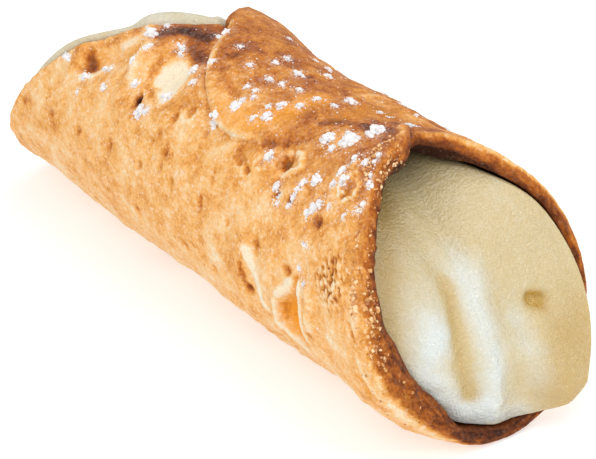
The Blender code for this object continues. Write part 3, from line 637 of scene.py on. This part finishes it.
def bore_radius(x, angle):
    at_near = smooth(1 - (near_rim(angle) - x) / RIM_WALL_LENGTH)
    at_far = smooth(1 - (x - far_rim(angle)) / RIM_WALL_LENGTH)
    wall = WALL + at_far * (FAR_RIM_WALL - WALL)
    wall = wall + at_near * (through(NEAR_RIM_WALL, turn(angle)) - WALL)
    return RADIUS + flare(share_along(x, angle), angle) - wall


def inner_radius(x, angle):
    lift = flap(share_along(x, angle), angle) * smooth(1 - rim_distance(x, angle) / FLAP_LIFTS_WITHIN)
    return bore_radius(x, angle) + FLAP_HOLLOW * lift


def pocket(angle):
    return bell(turn(angle - POCKET_ANGLE), POCKET_SPREAD)


def rim_dish(angle):
    """How much deeper the inner edge of the mouth's rim lies than its outer edge."""
    return RIM_DISH * np.maximum(through(NEAR_RIM_WALL, turn(angle)) - WALL, 0) + POCKET * pocket(angle)


def grid_faces(columns, rows, closed):
    """Quads over a grid of points numbered column by column; columns always join round."""
    here = np.arange(columns)[:, None] * rows + np.arange(rows if closed else rows - 1)[None, :]
    following = np.arange(columns)[:, None] * rows + (np.arange(here.shape[1])[None, :] + 1) % rows
    beside, beside_following = (here + rows) % (columns * rows), (following + rows) % (columns * rows)
    return np.stack([here, following, beside_following, beside], axis=-1).reshape(-1, 4)


def new_piece(name, points, faces, attributes=()):
    """A smooth mesh object whose points never leave the solids' box."""
    points = np.reshape(points, (-1, 3))
    if name != "floor":
        points = np.clip(points, *cad_box)
    data = bpy.data.meshes.new(name)
    data.from_pydata(points.tolist(), [], [list(face) for face in faces])
    data.shade_smooth()
    for label, values in attributes:
        layer = data.attributes.new(label, "FLOAT", "POINT")
        layer.data.foreach_set("value", np.ravel(values).astype(np.float32))
    piece = bpy.data.objects.new(name, data)
    bpy.context.scene.collection.objects.link(piece)
    mesh = bmesh.new()
    mesh.from_mesh(data)
    bmesh.ops.recalc_face_normals(mesh, faces=mesh.faces)
    mesh.to_mesh(data)
    mesh.free()
    return piece


def rim_places(x, angle, radius):
    return places(x, angle) * (radius / RADIUS)[..., None]


def rim_surface(angle, t, outer, rim_at, inner, outwards, sinks, roughness):
    """x and radius across a rim, from its outer edge at t = 0 to its inner edge at t = 1."""
    radius = outer + (inner - outer) * t
    x = rim_at + outwards * RIM_ROUNDING * np.sin(np.pi * t) - sinks * t * t
    rough = grain(rim_places(x, angle, radius), RIM_GRAIN)
    return x + outwards * roughness * rough * np.sin(np.pi * t) ** 0.6, radius


def near_rim_surface(angle, t, outer):
    """The mouth's rim, craggy where the dough was torn."""
    sinks = rim_dish(angle)
    rim_at = near_rim(angle)
    inner = inner_radius(rim_at - sinks, angle)
    torn = smooth(turn(angle), 10, 50) * (1 - smooth(turn(angle), 165, 180))
    roughness = NEAR_ROUGHNESS + TORN_ROUGHNESS * torn
    return rim_surface(angle, t, outer, rim_at, inner, 1, sinks, roughness)


def rim_toast_and_painted_light(angle, t):
    """How brown the mouth's rim is across it, with its painted highlight and painted shade, and the
    pocket's painted shade towards its inner edge.
    """
    outer, middle, inner = (through(curve, turn(angle)) for curve in RIM_TOAST_AND_PAINTED_LIGHT)
    across = np.where(t < RIM_MIDDLE, outer + (middle - outer) * smooth(t, 0, RIM_MIDDLE),
                      middle + (inner - middle) * smooth(t, RIM_MIDDLE))
    return across + POCKET_PAINTED_SHADE * smooth(t, POCKET_PAINTED_SHADE_FROM, POCKET_PAINTED_SHADE_FULL) * pocket(angle)


def crust_grid():
    """Angles and x of the outside's points, finer on the side that the camera sees."""
    front, back = (STEP_HALF_ANGLE + (180 - STEP_HALF_ANGLE) * np.arange(columns) / columns
                   for columns in (FRONT_COLUMNS, BACK_COLUMNS))
    straight = np.concatenate([-back[::-1], front, [180.0]])
    shares = np.linspace(0, 1, SHELL_ROWS)
    keeps = np.cos(np.radians(straight / 2))[:, None] ** 2
    angle = straight[:, None] + through(FLAP_EDGE, shares)[None, :] * keeps
    return angle, between_rims(shares[None, :], angle)


def near_rim_band(angle, t, outer):
    """Points and toast across the mouth's rim."""
    x, radius = near_rim_surface(angle, t, outer)
    grainy = grain(rim_places(x, angle, radius), RIM_TOAST_GRAIN)
    return on_tube(x, angle, radius), rim_toast_and_painted_light(angle, t) + grainy


def bore_band(near_angle, far_angle):
    """Points and toast down the bore, from the near rim's inner edge to the far one's; the toast holds
    painted shade, deeper in and under the torn corner.
    """
    near_x, far_x = near_rim(near_angle) - rim_dish(near_angle), far_rim(far_angle)
    stops = BORE_FINE_LENGTH * (np.arange(BORE_ROWS) / (BORE_ROWS - 1)) ** BORE_ROW_POWER
    fine = np.minimum(stops[None, :], (near_x - far_x) * BORE_FINE_SHARE)
    x = np.concatenate([near_x - fine, far_x + fine[:, ::-1]], axis=1)
    share = (x - far_x) / (near_rim(near_angle) - far_x)
    angle = far_angle + (near_angle - far_angle) * share
    radius = inner_radius(x, angle) + np.maximum(grain(places(x, angle), BORE_GRAIN), BORE_GRAIN_LOWEST)
    toast_and_painted_light = through(BORE_TOAST_AND_SHADE, turn(angle)) + DEEP_BORE_PAINTED_SHADE * smooth(near_x - x, 0, DEEP_BORE_FROM)
    return on_tube(x, angle, radius), np.clip(toast_and_painted_light, 0, 1)


def far_rim_band(angle, t, outer, brown_and_painted_light):
    """Points and toast across the far rim, from the bore out to the crust's toast there."""
    inner = inner_radius(far_rim(angle), angle)
    x, radius = rim_surface(angle, 1 - t, outer, far_rim(angle), inner, -1, 0.0, FAR_ROUGHNESS)
    return on_tube(x, angle, radius), FAR_RIM_TOAST * (1 - t) + brown_and_painted_light * t


def make_crust():
    """One closed skin: the outside, the near rim, the bore and the far rim."""
    angle, x = crust_grid()
    stroke_height, stroke_toast_and_painted_light, amber = stroke_marks(x, angle)
    radius = body_radius(x, angle) + crust_detail(x, angle, stroke_height)
    radius = np.maximum(radius, inner_radius(x, angle) + THINNEST)
    brown_and_painted_light = crust_toast_and_painted_light(x, angle, stroke_toast_and_painted_light)
    near_angle, far_angle = angle[:, -1:], angle[:, :1]
    t = np.arange(1, RIM_ROWS)[None, :] / RIM_ROWS
    bands = ((on_tube(x, angle, radius), brown_and_painted_light), near_rim_band(near_angle, t, radius[:, -1:]),
             bore_band(near_angle, far_angle), far_rim_band(far_angle, t, radius[:, :1], brown_and_painted_light[:, :1]))
    points, toast_and_painted_light = (np.concatenate(values, axis=1) for values in zip(*bands))
    inside = ((0, 0), (0, toast_and_painted_light.shape[1] - x.shape[1]))
    amber, dust = np.pad(amber, inside), np.pad(crust_dust(x, angle), inside)
    return new_piece("crust", points, grid_faces(*points.shape[:2], closed=True),
                     (("toast_and_painted_light", toast_and_painted_light), ("amber", amber), ("dust", dust)))


def crust_toast_and_painted_light(x, angle, stroke_toast_and_painted_light):
    """How brown the crust is, from 0 for pale dough to 1 for dark brown, with painted shade in the gap
    under the flap's edge and the painted light that some strokes and the rim's outer edge carry.
    """
    at = places(x, angle)
    brown_and_painted_light = TOAST + TOP_TOAST * zone(angle, -10, 14, 58) + stroke_toast_and_painted_light
    brown_and_painted_light += LOW_TOAST * smooth(np.abs(turn(angle)), 88, 128)
    pore, pore_wall = pores(x, angle)
    brown_and_painted_light += PIT_TOAST * spots(x, angle, PITS, PIT_TOAST_POWER) + PORE_TOAST * pore
    brown_and_painted_light += PORE_WALL_TOAST * pore_wall
    to_near = near_rim(angle) - x
    brown_and_painted_light += MOUTH_TOAST * zone(angle, 10, 35, 75) * bell(to_near, MOUTH_TOAST_LENGTH)
    brown_and_painted_light += (through(RIM_TOAST_AND_PAINTED_LIGHT[0], turn(angle)) - brown_and_painted_light) * bell(to_near, 1.0)
    on_edge, under_edge = step_marks(x, angle)
    broken = smooth(grain(at, EDGE_BREAKS) + 0.5)
    edge_toast = np.where(share_along(x, angle) > EDGE_BROWN_FROM, EDGE_TOAST, BROKEN_EDGE_TOAST * broken)
    # The gap under the flap's edge is darkened here as painted shade.
    return brown_and_painted_light + edge_toast * on_edge + GAP_PAINTED_SHADE * under_edge + grain(at, TOAST_GRAIN)


def crust_dust(x, angle):
    """How much fine sugar lies in the crust's grain."""
    near_clumps = np.zeros(x.shape)
    for clump_x, clump_angle, length, width in CLUMPS:
        spot = (clump_x, clump_angle, length + CLUMP_DUST_REACH, width + CLUMP_DUST_REACH, 1.0)
        near_clumps = np.maximum(near_clumps, spots(x, angle, (spot,)))
    along_top = bell(turn(angle - GRAIN_MIDDLE_ANGLE), DUST_ANGLE_SPREAD)
    return np.clip(DUST * along_top + CLUMP_DUST * near_clumps, 0, 1)


def cream_radius(x, angle):
    from_mouth = near_rim(angle) - x
    sink = CREAM_SINK * bell(turn(angle - CREAM_SINK_ANGLE), CREAM_SINK_SPREAD)
    return bore_radius(x, angle) - CREAM_GAP - sink * smooth(1 - from_mouth / CREAM_SINK_LENGTH)


def cream_near_edge(angle):
    return near_rim(angle, CREAM_TURN_SOFTENED) + through(CREAM_NEAR_EDGE, turn(angle))


def cream_far_edge(angle):
    return far_rim(angle) - through(CREAM_FAR_EDGE, turn(angle))


def slant(edge):
    """The middle of a slanted end and how much further out its top is."""
    angles = np.arange(48) * 7.5
    return edge(angles).mean(), (edge(angles) * np.cos(np.radians(angles))).mean() * 2


def face_grid(edge, edge_radius, angle, bulge, reach):
    """x and radius across one end of the cream, before its smears."""
    middle, top = slant(edge)
    a = np.radians(angle)
    unevenness = edge(angle) - middle - top * np.cos(a)
    x = middle + top * reach * np.cos(a) + unevenness * reach ** UNEVENNESS_POWER
    return x + bulge * (1 - reach ** 3), edge_radius * reach


def cream_far_end(angle):
    """x and radius from the middle of the far face to where the cream leaves the tube."""
    rim_x = far_rim(angle)
    out = rim_x - cream_far_edge(angle)
    over = CREAM_FAR_OVERHANG * smooth(out, CREAM_OVERHANGS_FROM, CREAM_OVERHANGS_FULLY)
    out_shares, over_shares = np.array(CREAM_FAR_SWELL).T
    swell_x, swell_radius = rim_x - out_shares * out, cream_radius(rim_x, angle) + over_shares * over
    reach = np.arange(1, CREAM_FAR_RINGS)[None, :] / CREAM_FAR_RINGS
    x, radius = face_grid(cream_far_edge, swell_radius[:, :1], angle, -CREAM_FAR_BULGE, reach)
    x += grain(places(x, angle, radius), CREAM_GRAIN) * smooth(1 - reach, 0, FAR_GRAIN_FADES)
    return np.concatenate([x, swell_x], axis=1), np.concatenate([radius, swell_radius], axis=1)


def cream_inside_x(angle):
    return np.minimum(cream_near_edge(angle), near_rim(angle)) - CREAM_SHOULDER


def cream_bore(angle):
    """x and radius just inside the two mouths, with one long stretch between them."""
    stops = np.arange(CREAM_BORE_ROWS)[None, :]
    x = np.concatenate([far_rim(angle) + CREAM_BORE_BEGINS + stops,
                        cream_inside_x(angle) - stops[:, ::-1]], axis=1)
    return x, cream_radius(x, angle)


def cream_near_end(angle):
    """x and radius from the shoulder inside the mouth to the middle of the near face."""
    edge_x, rim_x = cream_near_edge(angle), near_rim(angle)
    shoulder_x = (cream_inside_x(angle) + edge_x) / 2
    shoulder = cream_radius(rim_x + np.minimum(through(CREAM_NEAR_EDGE, turn(angle)), 0), angle)
    edge = shoulder - CREAM_EDGE_ROUNDING
    reach = np.arange(CREAM_NEAR_RINGS - 1, 0, -1)[None, :] / CREAM_NEAR_RINGS
    x, radius = face_grid(cream_near_edge, edge, angle, CREAM_NEAR_BULGE, reach)
    a = np.radians(angle)
    y, height = -radius * np.sin(a), AXIS_HEIGHT + radius * np.cos(a)
    rough = grain(np.stack([0 * y, y, height], axis=-1), CREAM_GRAIN)
    x = x + along_paths(y, height, SMEARS) + rough * smooth(1 - reach, 0, NEAR_GRAIN_FADES)
    return (np.concatenate([shoulder_x, edge_x, x], axis=1),
            np.concatenate([shoulder, edge, radius], axis=1))


def make_cream():
    angle = 360 * np.arange(CREAM_COLUMNS)[:, None] / CREAM_COLUMNS
    parts = (cream_far_end(angle), cream_bore(angle), cream_near_end(angle))
    x, radius = (np.concatenate(values, axis=1) for values in zip(*parts))
    points = on_tube(x, angle, radius)
    columns, rows = x.shape
    faces = grid_faces(columns, rows, closed=False).tolist()
    ends = []
    for row in (0, rows - 1):
        ring = [column * rows + row for column in range(columns)]
        faces += [(a, b, columns * rows + len(ends)) for a, b in zip(ring, ring[1:] + ring[:1])]
        ends.append(points[:, row].mean(axis=0))
    points = np.concatenate([points.reshape(-1, 3), ends])
    x, y, height = (points / MM).T
    near = x > NEAR_FACE_BEGINS
    white, amber = (np.where(near, *(np.clip(along_paths(y, height, marks), 0, 1) for marks in faces_marks))
                    for faces_marks in (CREAM_WHITES, CREAM_AMBERS_AND_SHADE))
    white += np.where(near, 0, CREAM_FAR_WHITENESS)
    return new_piece("cream_filling", points, faces, (("white", white), ("amber", amber)))


def template(subdivisions):
    ball = bmesh.new()
    bmesh.ops.create_icosphere(ball, subdivisions=subdivisions, radius=1)
    points = np.array([v.co[:] for v in ball.verts])
    faces = np.array([[v.index for v in f.verts] for f in ball.faces])
    ball.free()
    return points, faces


def lumps(name, ball, marks):
    """Many uneven lumps in one piece: (centre, angle, spin, sizes, unevenness, seed)."""
    points, faces = ball
    all_points, all_faces, tones = [], [], []
    for number, (centre, angle, spin, sizes, unevenness, seed) in enumerate(marks):
        swell = 1 + unevenness * noise_at(points, LUMP_NOISE_SIZE, seed)[:, None]
        local = points * swell * np.array(sizes)
        s, c = math.sin(spin), math.cos(spin)
        u, v = local[:, 0] * c - local[:, 1] * s, local[:, 0] * s + local[:, 1] * c
        a = math.radians(angle)
        along, aside, outwards = (1, 0, 0), (0, -math.cos(a), -math.sin(a)), (0, -math.sin(a), math.cos(a))
        place = (np.outer(u, along) + np.outer(v, aside) + np.outer(local[:, 2], outwards)) * MM
        all_points.append(centre + place)
        all_faces.append(faces + number * len(points))
        tones.append(np.full(len(points), seed % 1))
    return new_piece(name, np.concatenate(all_points), np.concatenate(all_faces).tolist(),
                     (("tone", np.concatenate(tones)),))


def clump_places(draw):
    """The clumps that the photograph shows, then a few over the side that it hides."""
    found = list(CLUMPS)
    while len(found) < len(CLUMPS) + MORE_CLUMPS:
        angle = draw.uniform(*MORE_CLUMP_ANGLES)
        x = float(between_rims(draw.uniform(*MORE_CLUMP_SHARES), angle))
        size = draw.uniform(*MORE_CLUMP_SIZES)
        found.append((x, angle, size, size * draw.uniform(*MORE_CLUMP_WIDTHS)))
    return found


def make_sugar_clumps(clump_list, draw):
    """Each clump is one lump with smaller ones round and on it."""
    rows = []
    for x, angle, length, width in clump_list:
        height = CLUMP_HEIGHT * min(length, width)
        for lump in range(int(LUMPS_AT_LEAST + LUMPS_BY_AREA * length * width)):
            small = draw.uniform(*LUMP_SHARES) if lump else MAIN_LUMP
            reach = draw.uniform(*LUMP_REACH) if lump else 0.0
            way = draw.uniform(0, math.tau)
            dome = math.sqrt(max(1 - (reach / MAIN_LUMP) ** 2, 0)) if lump else 0.0
            rows.append((x + math.cos(way) * reach * length,
                         angle + math.degrees(math.sin(way) * reach * width / RADIUS),
                         height * (CLUMP_SINKS * small + CLUMP_DOME * MAIN_LUMP * dome),
                         length * small, width * small, height * small))
    xs, angles, rises, *sizes = np.array(rows).T
    centres = on_tube(xs, angles, crust_radius(xs, angles) + rises)
    marks = [(centre, angle, 0.0, size, CLUMP_UNEVENNESS, draw.uniform(0, 90))
             for centre, angle, size in zip(centres, angles, np.array(sizes).T)]
    return lumps("sugar_clumps", template(2), marks)


def chips(draw, spots_and_sizes, length, widths, heights, unevenness):
    """Small lumps for places of (centre, angle, size), turned and shaped by the draw."""
    return [(centre, angle, draw.uniform(0, math.tau),
             (size * length, size * draw.uniform(*widths), size * draw.uniform(*heights)),
             unevenness, draw.uniform(0, 90)) for centre, angle, size in spots_and_sizes]


def make_grains(clump_list, draw):
    """Loose grains of sugar, most of them close to the clumps."""
    marks = []
    while len(marks) < GRAINS:
        if draw.random() < GRAINS_BY_CLUMPS:
            x, angle, length, width = draw.choice(clump_list)
            x += draw.gauss(0, GRAINS_STRAY + GRAINS_STRAY_MORE * length)
            angle += math.degrees(draw.gauss(0, GRAINS_STRAY + GRAINS_STRAY_MORE * width) / RADIUS)
        else:
            angle = draw.gauss(GRAIN_MIDDLE_ANGLE, GRAIN_ANGLE_SPREAD)
            x = float(between_rims(draw.random(), angle))
        if rim_distance(x, angle) < GRAINS_OFF_RIM:
            continue
        marks.append((x, angle, draw.uniform(*GRAIN_SIZES)))
    xs, angles, sizes = np.array(marks).T
    centres = on_tube(xs, angles, crust_radius(xs, angles) + GRAINS_RISE)
    return lumps("sugar_grains", template(1), chips(draw, zip(centres, angles, sizes), *GRAIN_SHAPE))


def make_crumbs(draw):
    """Crumbs of dough half sunk in the mouth's rim, on its torn face and on the crust behind it."""
    marks = []
    while len(marks) < CRUMBS:
        middle, spread, _, larger = draw.choices(CRUMB_PLACES, [place[2] for place in CRUMB_PLACES])[0]
        marks.append((draw.gauss(middle, spread), draw.triangular(*CRUMBS_ACROSS),
                      draw.choice((0, 1)) * draw.triangular(*CRUMB_BAND, CRUMB_BAND[0]),
                      draw.triangular(*CRUMB_SIZES, CRUMB_SIZES[0]) * larger))
    angles, shares, backs, sizes = np.array(marks).T
    xs, radii = near_rim_surface(angles, shares, crust_radius(near_rim(angles), angles))
    xs = np.where(backs > 0, near_rim(angles) - backs, xs)
    radii = np.where(backs > 0, crust_radius(xs, angles), radii)
    centres, room = on_tube(xs - CRUMB_SINKS, angles, radii), (CRUMB_ROOM * MM * sizes)[:, None]
    low_corner, high_corner = np.array(cad_box)
    inside = np.all((centres - room >= low_corner) & (centres + room <= high_corner), axis=1)
    kept = zip(centres[inside], angles[inside], sizes[inside])
    return lumps("rim_crumbs", template(2), chips(draw, kept, *CRUMB_SHAPE))


class Nodes:
    """Builds one material's nodes. Inputs are numbers, colours or other nodes' outputs."""
    def __init__(self, name):
        self.material = bpy.data.materials.new(name)
        self.material.use_nodes = True
        self.tree = self.material.node_tree
        self.surface = self.tree.nodes["Principled BSDF"]
        self.coordinates = self.add("TexCoord", "Object", {})

    def put(self, value, socket):
        if isinstance(value, bpy.types.NodeSocket):
            self.tree.links.new(value, socket)
        else:
            socket.default_value = (*value, 1) if socket.type == "RGBA" else value

    def add(self, kind, output, inputs, **settings):
        """One output of a new node."""
        node = self.tree.nodes.new("ShaderNode" + kind)
        for label, value in settings.items():
            setattr(node, label, value)
        for socket, value in inputs.items():
            self.put(value, node.inputs[socket])
        return node.outputs[output]

    def attribute(self, name):
        return self.add("Attribute", "Fac", {}, attribute_name=name)

    def noise(self, size, detail=3.0, roughness=0.55, at=None):
        """Noise from about 0 to 1, with features of that size in millimetres."""
        inputs = {"Scale": 1 / (size * MM), "Detail": detail, "Roughness": roughness}
        return self.add("TexNoise", "Fac", {"Vector": at or self.coordinates, **inputs})

    def cells(self, size):
        return self.add("TexVoronoi", "Distance", {"Vector": self.coordinates, "Scale": 1 / (size * MM)})

    def math(self, operation, a, b, clamp=False):
        return self.add("Math", 0, {0: a, 1: b}, operation=operation, use_clamp=clamp)

    def total(self, first, *more, clamp=False):
        for value in more:
            first = self.math("ADD", first, value, clamp)
        return first

    def times(self, a, b):
        return self.math("MULTIPLY", a, b)

    def swing(self, noise_output, amount):
        """Noise turned into a value that swings by that much round 0."""
        return self.times(self.math("SUBTRACT", noise_output, 0.5), amount)

    def range(self, value, low, high, to_low=0.0, to_high=1.0):
        """Ease from one value to another."""
        inputs = {"Value": value, "From Min": low, "From Max": high, "To Min": to_low, "To Max": to_high}
        return self.add("MapRange", "Result", inputs, interpolation_type="SMOOTHSTEP")

    def ramp(self, value, stops):
        """A colour for a value, from stops of (position, colour)."""
        color = self.add("ValToRGB", "Color", {"Fac": value})
        elements = color.node.color_ramp.elements
        while len(elements) < len(stops):
            elements.new(0.5)
        for element, (position, rgb) in zip(elements, stops):
            element.position = position
            element.color = (*rgb, 1)
        return color

    def mix(self, share, a, b):
        return self.add("Mix", 2, {"Factor": share, 6: a, 7: b}, data_type="RGBA")

    def bump(self, height, distance):
        """A bumpy normal, with the distance in millimetres."""
        return self.add("Bump", "Normal", {"Height": height, "Distance": distance * MM})

    def set(self, **values):
        for label, value in values.items():
            self.put(value, self.surface.inputs[label.replace("_", " ")])


def crust_material():
    m = Nodes("fried_crust")
    baked, amber = m.attribute("toast_and_painted_light"), m.attribute("amber")
    grain_noise = m.noise(0.5, 3.0, 0.6)
    uneven = m.total(m.swing(m.noise(4.5), 0.3), m.swing(m.noise(1.5, 4.0, 0.62), 0.44),
                     m.swing(grain_noise, 0.46))
    calmer_where_brown = m.range(baked, 0.55, 0.9, 1.0, 0.5)
    dots = m.times(m.range(m.cells(1.3), 0.06, 0.17, 0.26, 0.0), m.range(m.noise(3.0, 2.0), 0.5, 0.62))
    toast_and_painted_light = m.total(m.total(baked, m.times(uneven, calmer_where_brown)), dots, clamp=True)
    amber_share = m.times(amber, m.range(m.noise(0.9), 0.3, 0.6, 0.7, 1.0))
    color = m.mix(amber_share, m.ramp(toast_and_painted_light, CRUST_COLORS), AMBER)
    where_pale = m.range(toast_and_painted_light, 0.3, 0.62, 1.0, 0.1)
    # Pale specks, partly pale dough and partly painted glints
    specks_and_glints = m.times(where_pale, m.range(m.noise(0.7, 3.0, 0.65), 0.54, 0.66, 0.0, 0.66))
    color = m.mix(m.times(specks_and_glints, m.math("SUBTRACT", 1.0, amber, clamp=True)), color, PALE_SPECK_AND_GLINT)
    dust = m.times(m.attribute("dust"), m.range(m.noise(0.6, 4.0, 0.7), 0.46, 0.62))
    relief = m.total(m.times(m.noise(1.1, 3.0, 0.6), 1.3), grain_noise, m.times(m.cells(0.9), 0.3))
    m.set(Base_Color=m.mix(dust, color, SUGAR_WHITE), Roughness=m.range(m.noise(2.5), 0.3, 0.7, 0.48, 0.68),
          Normal=m.bump(relief, 0.34), Specular_IOR_Level=0.2)
    return m.material


def cream_material():
    m = Nodes("ricotta_cream")
    curds = m.noise(1.0, 3.0, 0.6)
    stretched = m.add("Mapping", "Vector", {"Vector": m.coordinates, "Rotation": STREAKS_TURNED,
                                            "Scale": (1.0, 0.5, 1.0)})
    streaks = m.noise(0.7, 3.0, 0.6, stretched)
    white = m.total(m.attribute("white"), m.swing(m.noise(3.4), 0.5), m.swing(curds, 0.3), clamp=True)
    # The amber mix carries painted shade as well as the cream's darker yellow
    color = m.mix(m.attribute("amber"), m.mix(white, CREAM_BEIGE, CREAM_WHITE), CREAM_AMBER_AND_SHADE)
    relief = m.total(m.times(streaks, 0.7), m.times(curds, 0.3), m.noise(0.4, 2.0))
    m.set(Base_Color=color, Roughness=m.range(m.noise(0.8), 0.35, 0.65, 0.12, 0.3),
          Normal=m.bump(relief, 0.22), Specular_IOR_Level=0.85,
          Subsurface_Weight=0.3, Subsurface_Radius=(1.0, 0.8, 0.5), Subsurface_Scale=1.5 * MM)
    return m.material


def sugar_material():
    m = Nodes("powdered_sugar")
    color = m.ramp(m.noise(0.6), ((0.3, SUGAR_SHADE), (0.6, SUGAR_WHITE)))
    m.set(Base_Color=color, Roughness=0.8, Normal=m.bump(m.noise(0.22, 3.0, 0.7), 0.12),
          Specular_IOR_Level=0.2,
          Subsurface_Weight=0.4, Subsurface_Radius=(1.0, 1.0, 1.0), Subsurface_Scale=0.5 * MM)
    return m.material


def crumb_material():
    m = Nodes("dough_crumb")
    tone = m.total(m.times(m.attribute("tone"), 0.8), m.swing(m.noise(0.5), 0.6), clamp=True)
    m.set(Base_Color=m.ramp(tone, CRUMB_COLORS), Roughness=0.6, Normal=m.bump(m.noise(0.3), 0.05))
    return m.material


def dress(piece, material, slot, *nodes):
    piece.data.materials.append(material)
    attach(piece, "root")
    if nodes:
        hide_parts(*nodes)


def make_camera():
    up_angle, round_angle = math.radians(CAMERA_ABOVE), math.radians(CAMERA_ROUND)
    back = Vector((math.cos(up_angle) * math.cos(round_angle),
                   -math.cos(up_angle) * math.sin(round_angle), math.sin(up_angle)))
    right = Vector((math.sin(round_angle), math.cos(round_angle), 0))
    upwards = back.cross(right)
    aim = Vector((AIM_X + CENTRE_SHIFT, 0, AIM_HEIGHT)) * MM
    place = aim + back * CAMERA_DISTANCE
    middle = aim - upwards * (CAMERA_DISTANCE * AIM_ABOVE_MIDDLE / FOCAL_PIXELS)
    data = bpy.data.cameras.new("camera")
    data.lens = FOCAL_PIXELS / IMAGE_WIDTH * data.sensor_width
    data.clip_start, data.clip_end = CLIP_START, CLIP_END
    camera = bpy.data.objects.new("camera", data)
    camera.location = place
    camera.rotation_euler = (middle - place).to_track_quat("-Z", "Y").to_euler()
    bpy.context.scene.collection.objects.link(camera)
    bpy.context.scene.camera = camera


def make_lights():
    for name, direction, width, power, color in LIGHTS:
        data = bpy.data.lights.new(name, "AREA")
        data.size = width
        data.energy = power
        data.color = color
        light = bpy.data.objects.new(name, data)
        away = Vector(direction).normalized()
        light.location = Vector(LIGHT_AIM) + away * LIGHT_DISTANCE
        light.rotation_euler = away.to_track_quat("Z", "Y").to_euler()
        bpy.context.scene.collection.objects.link(light)
    world = bpy.data.worlds.new("studio")
    world.use_nodes = True
    sky = world.node_tree.nodes["Background"]
    sky.inputs["Color"].default_value = (*WHITE, 1)
    sky.inputs["Strength"].default_value = SKY_STRENGTH
    bpy.context.scene.world = world


def make_floor():
    half = FLOOR_HALF_WIDTH
    corners = np.array([(-half, -half, 0), (half, -half, 0), (half, half, 0), (-half, half, 0)])
    floor = new_piece("floor", corners, [(0, 1, 2, 3)])
    m = Nodes("pale_floor")
    m.set(Base_Color=FLOOR_COLOR, Roughness=0.9, Specular_IOR_Level=0.1, Emission_Color=WHITE,
          Emission_Strength=FLOOR_GLOW)
    floor.data.materials.append(m.material)


make_camera()
make_lights()
make_floor()
bpy.context.scene.view_settings.view_transform = "Standard"

dress(make_crust(), crust_material(), "shell", "shell")
dress(make_cream(), cream_material(), "cream", "cream")
sugar = sugar_material()
sugar_draw = random.Random(11)
clumps = clump_places(sugar_draw)
dress(make_sugar_clumps(clumps, sugar_draw), sugar, "shell")
dress(make_grains(clumps, sugar_draw), sugar, "shell")
dress(make_crumbs(random.Random(17)), crumb_material(), "shell")
